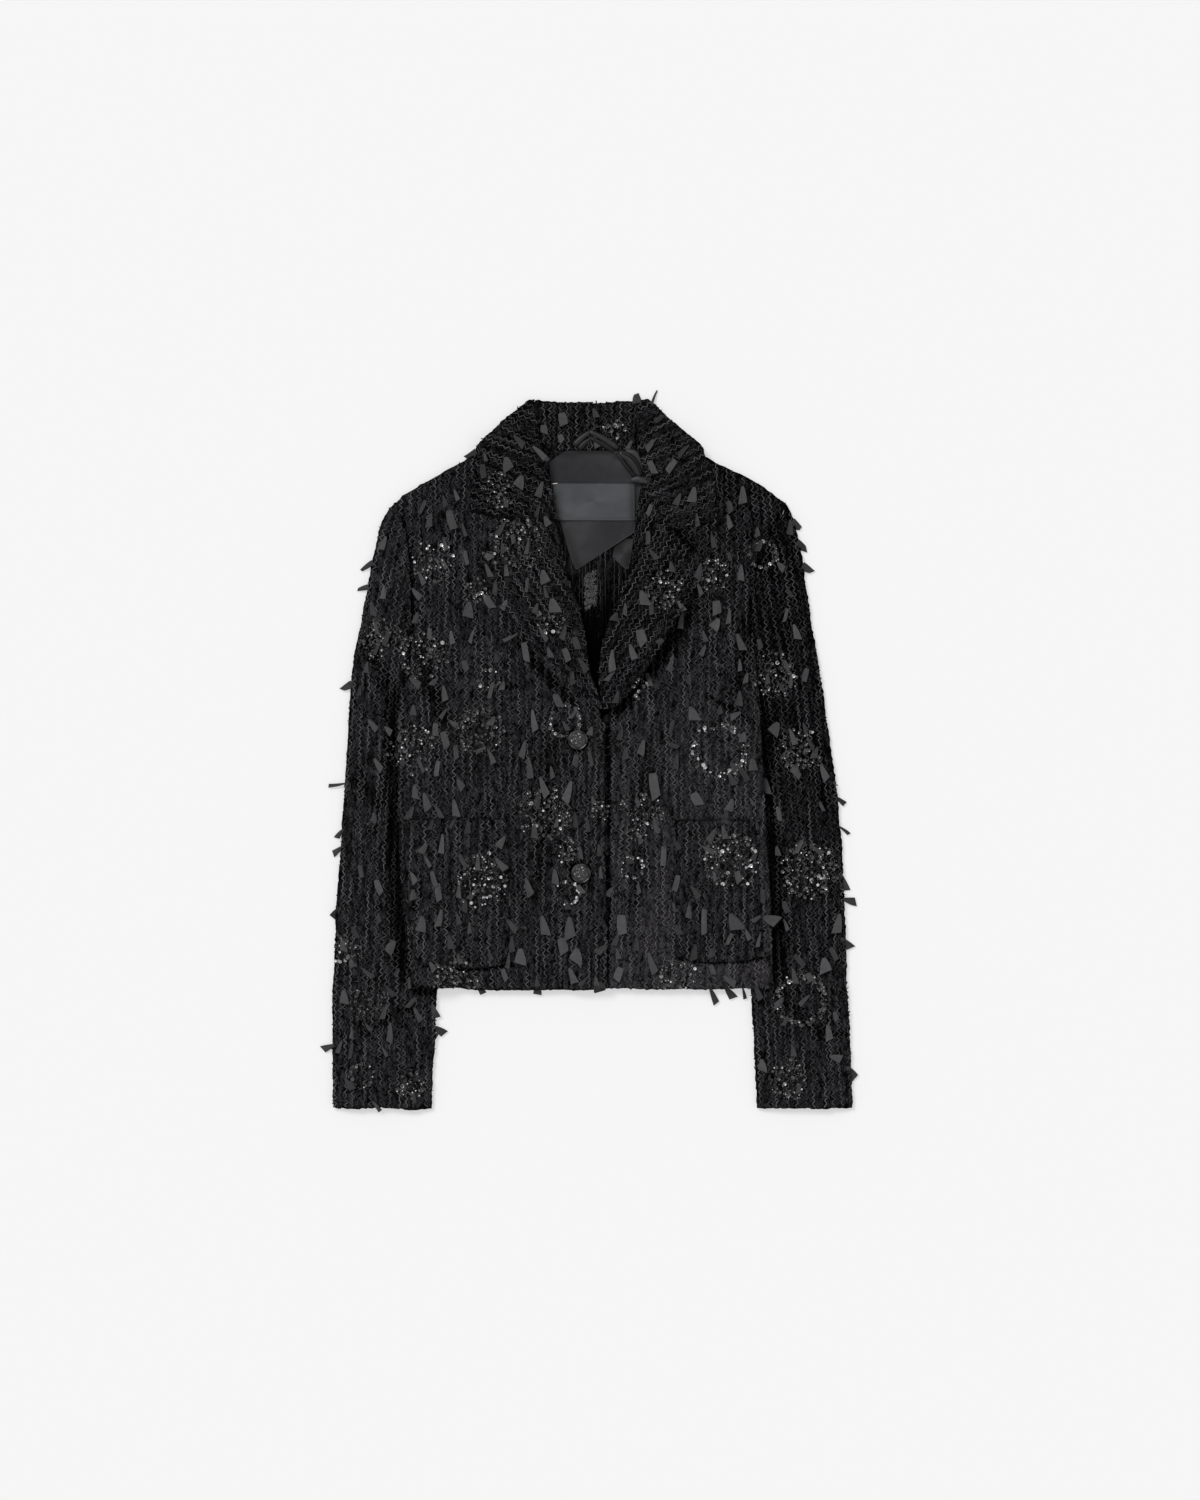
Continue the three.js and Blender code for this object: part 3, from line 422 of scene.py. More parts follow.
    def build(self, name, material, slot, nub=0.6, grain=0.0, rim=0.5, seed=1):
        """The shell: the face, roughened by nubs, and a rim that turns round the edge to the far face."""
        sign = 1 if self.up else -1
        z = self.z + sign * nub * MM * nubs(self.x, self.y, seed)
        if not self.up:
            z = np.maximum(z, 0.0)
        rows, columns = z.shape
        face = np.stack([self.x, self.y, z], axis=-1).reshape(-1, 3)
        index = np.arange(rows * columns).reshape(rows, columns)
        quads = np.stack([index[:-1, :-1], index[1:, :-1], index[1:, 1:], index[:-1, 1:]], -1)
        quads = quads.reshape(-1, 4)[:, ::sign]
        ring = np.concatenate([index[:, 0], index[-1, 1:], index[-2::-1, -1], index[0, -2:0:-1]])
        border, far = face[ring], self.far.reshape(-1)[ring]
        along = np.roll(border, -1, axis=0) - np.roll(border, 1, axis=0)
        out = unit(np.stack([along[:, 1], -along[:, 0]], -1))
        wide = self.free_edge(border, out, rim, seed) if nub else rim
        vertices, faces, last, count = [face], [quads], ring, len(face)
        for share, reach in RIM_LOOPS:
            loop = border.copy()
            loop[:, :2] += out * MM * (wide * reach if reach > 0 else reach)
            loop[:, 2] = border[:, 2] + (far - border[:, 2]) * share
            new = np.arange(len(ring)) + count
            walls = np.stack([last, new, np.roll(new, -1), np.roll(last, -1)], -1)
            faces.append(walls[:, ::-sign])
            vertices.append(loop)
            count += len(ring)
            last = new
        vertices = np.concatenate(vertices)
        turn = math.radians(grain)
        u = vertices[:, 0] * math.cos(turn) + vertices[:, 1] * math.sin(turn)
        v = vertices[:, 1] * math.cos(turn) - vertices[:, 0] * math.sin(turn)
        uv = np.stack([u, v], -1) / (100 * MM)
        # Painted shade from the grid darkens the colour of the face and the rim
        painted_shade = self.painted_shade.ravel()
        shade = 1 - PAINTED_SHADE_SHARE * np.concatenate([painted_shade] + [painted_shade[ring]] * len(RIM_LOOPS))
        made = make_object(name, vertices, np.concatenate(faces).tolist(), material, shade, uv)
        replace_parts(made, self.node)
        return made


# Materials

class Surface:
    """A new material, its shader's plain settings, and short ways to wire nodes into it."""

    def __init__(self, name, settings):
        self.material = bpy.data.materials.new(name)
        self.material.use_nodes = True
        self.nodes, self.links = self.material.node_tree.nodes, self.material.node_tree.links
        self.inputs = self.nodes["Principled BSDF"].inputs
        for setting, value in settings.items():
            self.inputs[setting].default_value = value

    def shade(self):
        """The shade of each vertex."""
        node = self.nodes.new("ShaderNodeAttribute")
        node.attribute_name = "shade"
        return node.outputs["Fac"]

    def grain(self):
        """Places across and along the cloth's grain, in steps of 100 mm."""
        node = self.nodes.new("ShaderNodeUVMap")
        node.uv_map = "grain"
        return node.outputs["UV"]

    def noise(self, source, scale, detail, stretch=(1, 1, 1)):
        mapping = self.nodes.new("ShaderNodeMapping")
        mapping.inputs["Scale"].default_value = stretch
        self.links.new(source, mapping.inputs["Vector"])
        noise = self.nodes.new("ShaderNodeTexNoise")
        noise.inputs["Scale"].default_value = scale
        noise.inputs["Detail"].default_value = detail
        self.links.new(mapping.outputs["Vector"], noise.inputs["Vector"])
        return noise.outputs["Fac"]

    def product(self, a, b):
        node = self.nodes.new("ShaderNodeMath")
        node.operation = "MULTIPLY"
        self.links.new(a, node.inputs[0])
        self.links.new(b, node.inputs[1])
        return node.outputs[0]

    def ramp(self, factor, dark, light, ends=(0.0, 1.0)):
        """A colour from dark to light as the factor goes from one end to the other."""
        node = self.nodes.new("ShaderNodeValToRGB")
        for element, end, colour in zip(node.color_ramp.elements, ends, (dark, light)):
            element.position = end
            element.color = (*colour, 1)
        self.links.new(factor, node.inputs["Fac"])
        return node.outputs["Color"]

    def tint(self, colour, by, share):
        """A colour multiplied by another value, as much as share says."""
        blend = self.nodes.new("ShaderNodeMixRGB")
        blend.blend_type = "MULTIPLY"
        blend.inputs["Fac"].default_value = share
        self.links.new(colour, blend.inputs["Color1"])
        self.links.new(by, blend.inputs["Color2"])
        return blend.outputs["Color"]

    def finish(self, colour, height, strength, distance):
        """Wires in the colour and a fine relief, and gives the material."""
        bump = self.nodes.new("ShaderNodeBump")
        bump.inputs["Strength"].default_value = strength
        bump.inputs["Distance"].default_value = distance
        self.links.new(height, bump.inputs["Height"])
        self.links.new(bump.outputs["Normal"], self.inputs["Normal"])
        self.links.new(colour, self.inputs["Base Color"])
        return self.material


def tweed_material(name, dark, light):
    """Dark boucle: slubs along the grain over fine fibre, matte with a little sheen. The vertex shade paints
    shade into its colour and relief.
    """
    settings = {"Roughness": 0.92, "Specular IOR Level": 0.0, "Sheen Weight": 0.006, "Sheen Roughness": 0.5}
    surface = Surface(name, settings)
    grain = surface.grain()
    slub = surface.noise(grain, 26.0, 3.0, (1.0, 0.35, 1.0))
    fibre = surface.noise(grain, 95.0, 4.0, (1.0, 0.6, 1.0))
    # The vertex shade is painted shade from troughs, grooves and soft shade
    relief_and_painted_shade = surface.product(surface.product(slub, fibre), surface.shade())
    return surface.finish(surface.ramp(relief_and_painted_shade, dark, light, (0.19, 0.40)), relief_and_painted_shade, 0.9, 0.0016)


def strand_material(name, dark, light, roughness, specular, metallic=0.0, fibre_scale=900.0):
    """Small pieces, each with a shade between dark and light that holds their own tone and, on some pieces,
    painted shade or painted glints; and fine fibres.
    """
    surface = Surface(name, {"Roughness": roughness, "Specular IOR Level": specular, "Metallic": metallic})
    coordinates = surface.nodes.new("ShaderNodeTexCoord")
    fibre = surface.noise(coordinates.outputs["Object"], fibre_scale, 2.0)
    colour = surface.ramp(surface.shade(), dark, light)
    return surface.finish(surface.tint(colour, fibre, 0.5), fibre, 0.3, 0.0004)


def satin_material(name, dark, light, roughness):
    """Satin: fine threads across, soft cloudy changes of colour that are painted sheen, and painted shade in
    its folds.
    """
    surface = Surface(name, {"Roughness": roughness, "Specular IOR Level": 0.34, "Anisotropic": 0.5})
    grain = surface.grain()
    cloudy = surface.noise(grain, 9.0, 2.0)
    threads = surface.noise(grain, 420.0, 2.0, (0.25, 1.0, 1.0))
    colour = surface.ramp(cloudy, dark, light)
    # The vertex shade is painted shade in its folds
    return surface.finish(surface.tint(colour, surface.shade(), 1.0), threads, 0.08, 0.0003)


COARSE_FIBRE = 300.0
# Darkest and lightest colour, then roughness and gloss
TWEED = tweed_material("tweed", (0.0015, 0.0014, 0.0016), (0.045, 0.0425, 0.0465))
INSIDE = tweed_material("inside_of_back", (0.0010, 0.0010, 0.0011), (0.022, 0.021, 0.023))
INSIDE_RIB = strand_material("inside_ribs", (0.0005, 0.0005, 0.0006), (0.092, 0.089, 0.093), 0.9, 0.02)
YARN = strand_material("grey_yarn", (0.010, 0.0095, 0.0105), (0.168, 0.161, 0.170), 0.9, 0.02)
BOUCLE = strand_material("boucle_loops", (0.001, 0.0009, 0.0011), (0.104, 0.099, 0.105), 0.9, 0.02)
RIBBON = strand_material(
    "ribbon", (0.030, 0.029, 0.031), (0.085, 0.083, 0.087), 0.7, 0.15, fibre_scale=COARSE_FIBRE
)
SATIN_RIBBON = strand_material(
    "satin_ribbon", (0.001, 0.001, 0.0012), (0.046, 0.045, 0.049), 0.5, 0.3, fibre_scale=COARSE_FIBRE
)
# The light ends of the sequins' and beads' colours are painted glints
SEQUIN = strand_material("sequins", (0.01, 0.01, 0.011), (0.75, 0.75, 0.76), 0.25, 0.8, metallic=0.3)
BEAD = strand_material("beads", (0.008, 0.008, 0.009), (1.0, 1.0, 1.0), 0.2, 0.8)
BUTTON = strand_material(
    "button", (0.003, 0.003, 0.0032), (0.058, 0.059, 0.060), 0.26, 0.45, fibre_scale=420.0
)
THREAD = strand_material("white_thread", (0.5, 0.5, 0.5), (0.9, 0.9, 0.88), 0.7, 0.2)
LINING = satin_material("lining", (0.0080, 0.0078, 0.0098), (0.0195, 0.0192, 0.0240), 0.45)
LABEL = satin_material("label", (0.035, 0.038, 0.042), (0.058, 0.062, 0.068), 0.5)


# The cloth panels
SLOT = "tweed"
panels = {}


def cloth(node, step=CLOTH_STEP, **options):
    panels[node] = Panel(node, step, **options)


for side in ("right", "left"):
    for piece in ("front", "upper_sleeve"):
        cloth(f"{piece}_{side}")
    for piece in ("lapel", "collar_leaf", "pocket"):
        cloth(f"{piece}_{side}", SMALL_STEP, passes=3)
    for piece in ("back", "under_sleeve"):
        cloth(f"{piece}_{side}", HIDDEN_STEP, up=False, passes=2)
cloth("collar_stand", SMALL_STEP, passes=3)
cloth("collar_fall", HIDDEN_STEP, up=False, passes=1)

# How far the stand's top edge drops at each width: it rises to meet the leaves at its ends
STAND_DROPS = ((-56, -2.4), (-44, -1.2), (-26, 0.3), (6, 0.6), (32, 0.0), (54, -1.2))
panels["collar_stand"].sag(STAND_DROPS)
# How far its left edge tucks under the leaf
STAND_TUCK = 1.4
panels["collar_stand"].x[:, 0] -= STAND_TUCK * MM

# How far the hem and the cuffs drop at each width
HEM_DROPS = {
    "front_right": (
        (-190, 0), (-160, -0.8), (-140, -1.4), (-118, 1.2), (-70, 1.8), (-30, 0.6), (-8, 1.6), (18, 0)
    ),
    "front_left": ((18, -0.6), (50, 0.8), (90, 0.2), (130, 0.6), (176, -0.6)),
    "upper_sleeve_right": ((-272, 0), (-240, 0.2), (-215, -0.6), (-190, 1.6), (-170, 1.2), (-160, 0)),
    "upper_sleeve_left": ((166, -0.8), (180, 0.6), (205, 0.2), (230, 0.8), (250, -0.4), (272, 0.4)),
}
for node, drops in HEM_DROPS.items():
    panels[node].sag(drops, -1)

# Grain of each panel, in degrees from the vertical towards -X at the top
GRAIN = {
    "lapel_right": 32.0,
    "lapel_left": -32.0,
    "collar_leaf_right": 66.0,
    "collar_leaf_left": -62.0,
}

# Creases and seams on each panel: start, end, depth (negative for a trough) and width. Some lift the
# underside with them, and some say how much painted shade they get; other troughs get painted shade by their
# depth.
LAID, LIFTED = False, True
CREASES = {
    "front_left": (
        ((121, 58), (168, 32), -1.6, 3.0),
        ((168, 150), (150, 60), -1.2, 9.0),
        ((60, 10), (40, -190), -0.9, 12.0),
        ((196, 250), (170, 186), -1.8, 4.0),
        ((170, 186), (167, 120), -1.8, 4.0),
        ((172, 60), (184, -150), 1.8, 7.0, LIFTED),
        ((78, 236), (110, 207), -3.2, 3.6),
        ((101, 148), (52, 76), -3.4, 8.0),
        ((66, 96), (20, 36), -3.4, 7.0),
        ((84, -213), (136, -217.5), -1.4, 2.0, LAID, 1.1),
        ((126, -217.5), (184, -212), -1.4, 2.0, LAID, 1.1),
        ((16, 40), (17, -100), -2.0, 3.2),
        ((17, -90), (16, -244), -2.0, 3.2),
    ),
    "front_right": (
        ((-99, 69), (-72, 69), -1.4, 2.4),
        ((-182, 120), (-150, 20), -1.2, 10.0),
        ((-40, 30), (-60, -180), -0.9, 14.0),
        ((-200, 254), (-189, 190), -1.8, 4.0),
        ((-189, 190), (-188, 120), -1.8, 4.0),
        ((-188, 120), (-199, 60), -1.8, 4.0),
        ((-200, 60), (-196, -170), 1.6, 7.0, LIFTED),
        ((-196, -240), (-160, -242), 3.0, 5.0, LIFTED),
        ((-187, -243), (-158, -247), -2.0, 3.2, LAID, 1.0),
        ((-86, 124), (-16, 46), -2.0, 5.0),
        ((-180, -219), (-128, -225.5), -1.4, 2.0, LAID, 1.1),
        ((-138, -225.5), (-76, -220), -1.4, 2.0, LAID, 1.1),
    ),
    "upper_sleeve_left": (
        ((234, 14), (240, -60), -1.5, 4.0),
        ((190, -250), (250, -300), -1.0, 7.0),
        ((176, 60), (182, -60), -2.6, 10.0),
        ((182, -60), (194, -240), -2.6, 10.0),
        ((196, 20), (206, -200), 1.8, 8.0),
    ),
    "upper_sleeve_right": (
        ((-236, 120), (-208, 60), -1.2, 8.0),
        ((-252, -20), (-214, -60), -1.0, 8.0),
        ((-180, -262), (-250, -292), -1.0, 7.0),
        ((-203, 70), (-205, -60), -3.0, 9.0),
        ((-205, -40), (-196, -240), -3.0, 9.0),
        ((-218, 50), (-216, -220), 2.4, 8.0),
        ((-188, -247), (-156, -250), -1.0, 3.0, LAID, 1.0),
    ),
    "lapel_left": (
        ((80, 236), (110, 207), -3.2, 3.2),
        ((122, 200), (70, 112), 2.2, 16.0, LIFTED),
        ((98, 156), (16, 40), 4.8, 13.0, LIFTED),
    ),
    "lapel_right": (
        ((-98, 161), (-8, 44), 2.2, 9.0, LIFTED),
    ),
    "collar_leaf_right": (
        ((-58, 362), (-46, 300), -1.4, 3.0),
    ),
}
for node, creases in CREASES.items():
    for crease in creases:
        panels[node].crease(*crease)

# Painted soft shade on panels at their top and bottom edge; a negative value paints light
SOFT_SHADE = {
    "collar_stand": (0.22, 0.22),
    "collar_leaf_right": (0.26, 0.26),
    "collar_leaf_left": (0.16, 0.16),
    "lapel_right": (0.14, 0.14),
    "lapel_left": (0.26, 0.26),
    "front_right": (0.10, -0.22),
    "front_left": (0.40, -0.55),
    "upper_sleeve_left": (0.50, 0.0),
}
for node, shades in SOFT_SHADE.items():
    panels[node].darken(*shades)

BUTTONS = ("button_top", "button_low")
# Depth and width of the trough that a button presses, which gets painted shade
BUTTON_PRESS = (1.0, 1.8)
for button in BUTTONS:
    low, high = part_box(button)
    middle_x, middle_y = (low.x + high.x) / 2, (low.y + high.y) / 2
    panels["front_right"].groove(middle_x, middle_y, (high.x - low.x) / 2, *BUTTON_PRESS)

COLLAR_RIM = 1.5
for number, (node, panel) in enumerate(panels.items()):
    rim = COLLAR_RIM if node.startswith("collar") else 0.5
    grain = GRAIN.get(node, 0.0)
    panel.build(f"cloth_{node}", TWEED, SLOT, grain=grain, rim=rim, seed=number + 1)

# The inside of the back, where the neck opening shows it: its box on each side, and the heights between
# which painted shade takes it from black at the foot of the opening to the tone of its pile
INSIDE_BOXES = {"right": (-56, 7.7, 26, 326), "left": (8.3, 64, 26, 326)}
INSIDE_DARK = (110, 196)


def brightness(y):
    """Painted light on the inside of the back at a height in garment millimetres, from 0 low in the opening
    to 1 higher up.
    """
    return ease((y - INSIDE_DARK[0]) / (INSIDE_DARK[1] - INSIDE_DARK[0]))


insides = {}
for side, (x0, x1, y0, y1) in INSIDE_BOXES.items():
    (x0, y0), (x1, y1) = place(x0, y0), place(x1, y1)
    inner = Panel(f"back_{side}", SMALL_STEP, window=(x0, x1, y0, y1), passes=1)
    # Painted shade: the inside is darker towards the foot of the opening
    inner.painted_shade = 1 - brightness((inner.y - SHIFT[1]) / MM)
    insides[f"inside_back_{side}"] = inner
    inner.build(f"inside_back_{side}", INSIDE, SLOT, nub=0.2, seed=40)


# Satin inside the neck: how many mm of it make one radian of its waves, across and down
SATIN_WAVES = (7, 16)
# Folds by start, end, depth, width and how much painted shade they get
LINING_FOLDS = (
    ((-50, 312), (-12, 308), -0.4, 4.0, 0.7),
    ((-20, 312), (24, 312), -0.3, 3.0, 1.2),
    ((14, 313), (48, 296), -0.6, 4.0, 1.0),
    ((-45, 318), (-38, 262), -0.4, 4.0, 0.9),
    ((-40, 270), (-29, 234), -0.4, 6.0, 1.25),
    ((-31, 242), (-12, 182), -0.4, 5.5, 1.3),
    ((47, 296), (48, 220), -0.4, 4.0, 1.2),
    ((-38, 300), (-22, 292), -0.4, 5.0, 0.15),
    ((20, 306), (44, 290), -0.5, 6.0, 0.25),
    ((-30, 236), (-6, 214), 0.4, 7.0, 0.0),
    ((10, 238), (34, 226), -0.4, 6.0, 0.15),
)
LABEL_FOLDS = (
    ((42, 290), (45, 232), -0.5, 4.5, 0.8),
    ((-44, 292), (-39, 262), -0.5, 4.0, 0.7),
    ((-41, 272), (-32, 230), -0.5, 6.0, 1.2),
    ((-38, 250), (-20, 244), -0.3, 3.0, 0.3),
    ((-20, 276), (-12, 262), -0.2, 5.0, 0.12),
    ((-54, 242), (54, 242), -0.2, 1.6, 0.5),
)
FLAP_FOLDS = (
    ((-14, 190), (66, 240), -0.6, 7.0, 1.3),
    ((46, 240), (36, 184), -0.3, 5.0, 0.8),
    ((24, 206), (31, 192), -0.2, 4.0, 0.3),
)
# How far the lining tucks in from the right lapel's fold at each height, so that the inside of the back, with
# its painted shade, shows there as the fold's dark
LINING_TUCK = ((189, 11), (209, 7), (241, 3.5), (280, 1), (315, 0))
# How far its top edge sags from the neck seam at each width, and how far down it is drawn
LINING_SAG = ((-46, 14), (-38, 7), (-28, 0.3), (-12, 0), (30, 0), (46, 2))


def satin_panel(node, material, slot, folds, wave, trim=None, sag=None):
    """A satin shell with soft waves, of a height in mm."""
    panel = Panel(node, SMALL_STEP, passes=3, trim=trim)
    if sag:
        panel.sag(sag)
    slanted = panel.x + 0.4 * panel.y
    across, down = (length * MM for length in SATIN_WAVES)
    panel.z += wave * MM * np.sin(slanted / across) * np.sin(panel.y / down)
    for start, end, depth, width, paint_amount in folds:
        panel.crease(start, end, depth, width, paint_amount=paint_amount)
    panels[node] = panel
    panel.build(f"satin_{node}", material, slot, nub=0.0, rim=0.15)


satin_panel("neck_lining", LINING, "lining", LINING_FOLDS, 0.25, LINING_TUCK, LINING_SAG)
satin_panel("lining_flap", LINING, "lining", FLAP_FOLDS, 0.3)
satin_panel("label", LABEL, "label", LABEL_FOLDS, 0.08)
SATIN_PANELS = ("neck_lining", "lining_flap", "label")
TWEED_PANELS = [node for node, panel in panels.items() if panel.up and node not in SATIN_PANELS]

# How far the sides of a satin ribbon turn down
SATIN_CUP = -0.8
# Bands of the hanger loop: the upper two, and two near-black bands under them that are painted shadow: start,
# end, rise and shade
HANGER_BANDS = (
    ((-19, 319.5), (-1, 334), 0.4, 0.36),
    ((27, 316.5), (-3, 334), 1.6, 0.44),
    ((-14, 315.5), (0, 327), 0.1, 0.02),
    ((23, 313.5), (-2, 327), 0.6, 0.02),
)
# Folds of the ribbon that bunches beside the lining, of which the two black ones are painted shadow in its
# creases: route, width, rise and shade
KNOT_FOLDS = (
    (((26, 311), (34, 300), (41, 291), (48, 283)), 4.5, 0.6, 0.0),
    (((28, 312), (38, 307), (45, 298), (50, 286)), 10.0, 1.2, 0.42),
    (((35, 314), (45, 311), (52, 302), (55, 289)), 8.0, 1.8, 0.6),
    (((31, 312), (42, 307), (48, 299), (52, 288)), 3.0, 3.4, 0.0),
    (((40, 283), (47, 284.5), (53, 282.5), (60, 281)), 6.5, 3.0, 0.75),
)
# The white thread at the label's upper corner: its left end, run and radius
STITCH_START = (-41.5, 279.6)
STITCH_RUN = (5.5, 0.5)
STITCH_RADIUS = 0.5


def make_hanger_loop():
    """A satin ribbon folded into an inverted V and sewn into the neck seam at both ends."""
    heap = Heap()
    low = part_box("hanger_loop")[0].z
    t = np.linspace(0, 1, 9)
    bow = np.sin(math.pi * t)
    for start, end, rise, shade in HANGER_BANDS:
        x = start[0] + (end[0] - start[0]) * t
        y = start[1] + (end[1] - start[1]) * t + 1.2 * bow
        points = points_at(x, y, low + (0.9 + rise + 0.5 * bow) * MM)
        strip(heap, points, 5.0 + 0.8 * np.sin(5 * t), shade, cup=SATIN_CUP)
    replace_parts(heap.build("hanger_loop_ribbon", SATIN_RIBBON, "lining"), "hanger_loop")


def make_knot():
    """A satin ribbon that bunches beside the lining at the wearer's left."""
    heap = Heap()
    top = panels["neck_lining"].high[2]
    bow = np.sin(np.linspace(0, math.pi, 12))
    for route, width, rise, shade in KNOT_FOLDS:
        t = np.linspace(0, len(route) - 1, len(bow))
        x, y = (np.interp(t, range(len(route)), values) for values in zip(*route))
        points = points_at(x, y, top + (rise + 1.6 * bow) * MM)
        strip(heap, points, width * (0.55 + 0.45 * bow), shade, 0.6, SATIN_CUP)
    heap.build("ribbon_knot", SATIN_RIBBON, "ribbon")


def make_label_stitch():
    heap = Heap()
    t = np.linspace(0, 1, 5)
    x, y = (start + run * t for start, run in zip(STITCH_START, STITCH_RUN))
    z = panels["label"].high[2] + (0.3 + 0.4 * np.sin(math.pi * t)) * MM
    add_tubes(heap, points_at(x, y, z)[None], STITCH_RADIUS * MM, 0.8, 6)
    heap.build("label_stitch", THREAD, "label")


make_hanger_loop()
make_knot()
make_label_stitch()


# Yarns and loops on the panels, with what lies on each piece and hides it
COVERS = {
    "front_right": ("lapel_right", "collar_leaf_right", "pocket_right"),
    "front_left": ("lapel_left", "collar_leaf_left", "pocket_left", "front_right"),
    "inside_back_right": ("neck_lining", "lining_flap"),
    "inside_back_left": ("neck_lining", "lining_flap"),
}
COVER_EDGE = 0.8


def lying(panel, x, y, lift):
    """Points on a panel from garment millimetres, lifted, and how far inside its outline they are."""
    px, py = place(x, y)
    z = panel.sample(panel.z, px, py) + lift * MM
    return points_at(x, y, z), panel.inside(px, py) / MM


def hidden(node, points):
    """Which points lie under another piece."""
    covered = np.zeros(len(points), bool)
    for cover in COVERS.get(node, ()):
        covered |= panels[cover].inside(points[:, 0], points[:, 1]) > COVER_EDGE * MM
    return covered


def painted_fold_shade(panel, points):
    """The share of a yarn's or loop's tone left at each point after painted shade: little down in a fold."""
    return 1 - PAINTED_SHADE_SHARE * panel.sample(panel.painted_shade, points[..., 0], points[..., 1])


def grain_directions(turn):
    """Unit vectors along and across a grain that is turned by so many radians."""
    return np.stack([-np.sin(turn), np.cos(turn)], -1), np.stack([np.cos(turn), np.sin(turn)], -1)


def yarn_routes(panel, node, spacing, draws):
    """Lines along the grain as (x, y) in garment millimetres, before the zigzag."""
    low_x, low_y = (panel.low[:2] - SHIFT) / MM
    high_x, high_y = (panel.high[:2] - SHIFT) / MM
    step = YARN_PERIOD / 4
    if "sleeve" in node:
        ys = np.arange(high_y + EDGE_OVERHANG, low_y - EDGE_OVERHANG, -step)
        left, right = panel.edges(ys * MM + SHIFT[1])
        outer = (right if "left" in node else left) - SHIFT[0]
        inward = -1 if "left" in node else 1
        for number, offset in enumerate(np.arange(2.5, high_x - low_x, spacing)):
            stray = draws.uniform(-YARN_STRAY, YARN_STRAY)
            yield number, outer / MM + inward * (offset + stray), ys
        return
    along, across = grain_directions(math.radians(GRAIN.get(node, 0.0)))
    middle = np.array([(low_x + high_x) / 2, (low_y + high_y) / 2])
    reach = 0.5 * math.hypot(high_x - low_x, high_y - low_y)
    s = np.arange(-reach, reach, step)
    for number, offset in enumerate(np.arange(-reach, reach, spacing)):
        stray = draws.uniform(-YARN_STRAY, YARN_STRAY)
        line = middle + across * (offset + stray) + along * s[:, None]
        yield number, line[:, 0], line[:, 1]


def slow_waves(n, draws, lengths):
    """A smooth, uneven wave along n between about -1 and 1."""
    return sum(np.sin(n / draws.uniform(*lengths) + draws.uniform(0, 6)) for _ in range(3)) / 2


def add_yarns(heap, panel, node, draws, spacing=YARN_SPACING, amplitude=YARN_AMPLITUDE, light=None):
    """Zigzag yarns that wander along the grain. Light gives painted light: how bright they are at each
    height.
    """
    nearest = POCKET_INSET if node.startswith("pocket") else -EDGE_OVERHANG
    for number, x, y in yarn_routes(panel, node, spacing, draws):
        n = np.arange(len(x))
        level, thickness, height = FINE_YARN if number % 2 else BOLD_YARN
        phase = draws.randint(0, 4)
        swing = amplitude * draws.uniform(*YARN_SWINGS, len(n))
        zigzag = np.array([0, 1, 0, -1])[(n + phase) % 4] * swing
        wander = YARN_WANDER * amplitude * slow_waves(n, draws, WANDER_LENGTHS)
        turn = np.arctan2(np.gradient(x), -np.gradient(y) + 1e-9)
        shift = zigzag + wander + draws.uniform(-YARN_JITTER, YARN_JITTER, len(n))
        rise = np.sin(n / draws.uniform(*RISE_LENGTHS) + draws.uniform(0, 6))
        lift = height + YARN_RISE * rise
        points, inside = lying(panel, x + shift * np.cos(turn), y + shift * np.sin(turn), lift)
        kept = np.flatnonzero((inside > nearest) & ~hidden(node, points))
        for run in np.split(kept, np.flatnonzero(np.diff(kept) > 1) + 1):
            if len(run) < SHORTEST_YARN:
                continue
            fade = TONE_CHANGE * slow_waves(run, draws, TONE_LENGTHS)
            fade += draws.normal(0, TONE_SPREAD, len(run))
            # Painted shade: yarns are darker down in folds
            shade = np.clip(level + fade, 0, 1) * painted_fold_shade(panel, points[run])
            if light:
                shade *= light(y[run])
            add_tubes(heap, points[run][None], YARN_RADIUS * thickness * MM, shade[None])


def scatter_inside(panel, count, margin, draws):
    """Random points inside a panel's outline, in garment millimetres."""
    rows = draws.uniform(0, 1, count)
    widths = panel.right - panel.left
    ys = np.interp(rows, np.cumsum(widths) / widths.sum(), panel.ys)
    left, right = panel.edges(ys)
    left, right = left + margin * MM, right - margin * MM
    xs = left + (right - left) * draws.uniform(0, 1, count)
    wide = right > left
    return (xs[wide] - SHIFT[0]) / MM, (ys[wide] - SHIFT[1]) / MM


def add_loops(heap, panel, node, draws):
    """Boucle: short arched strokes of thick yarn, slanting one way or the other from row to row."""
    x, y = scatter_inside(panel, int(panel.area() * LOOPS_PER_MM2), -LOOP_OVERHANG, draws)
    centre, _ = lying(panel, x, y, 0.3)
    seen = ~hidden(node, centre)
    x, centre = x[seen], centre[seen]
    count = len(x)
    slant = LOOP_SLANT * np.where(np.sin(x * math.pi / YARN_SPACING) > 0, 1, -1)
    turn = math.radians(GRAIN.get(node, 0.0)) + (slant + draws.normal(0, LOOP_SPREAD, count))
    half = draws.uniform(*LOOP_HALVES, count) * MM
    t = np.linspace(-1, 1, 3)
    arch = MM * (1 - t * t)
    bow = draws.uniform(-LOOP_BOW, LOOP_BOW, count)[:, None] * arch
    along, across = grain_directions(turn)
    spots = along[:, None] * (half[:, None] * t)[..., None] + across[:, None] * bow[..., None]
    rise = draws.uniform(*LOOP_RISES, count)[:, None] * arch
    paths = centre[:, None] + np.concatenate([spots, rise[..., None]], -1)
    radii = draws.uniform(*LOOP_RADII, count) * MM
    # Painted shade: loops are darker down in folds
    add_tubes(heap, paths, radii, draws.beta(*LOOP_TONES, count) * painted_fold_shade(panel, centre))


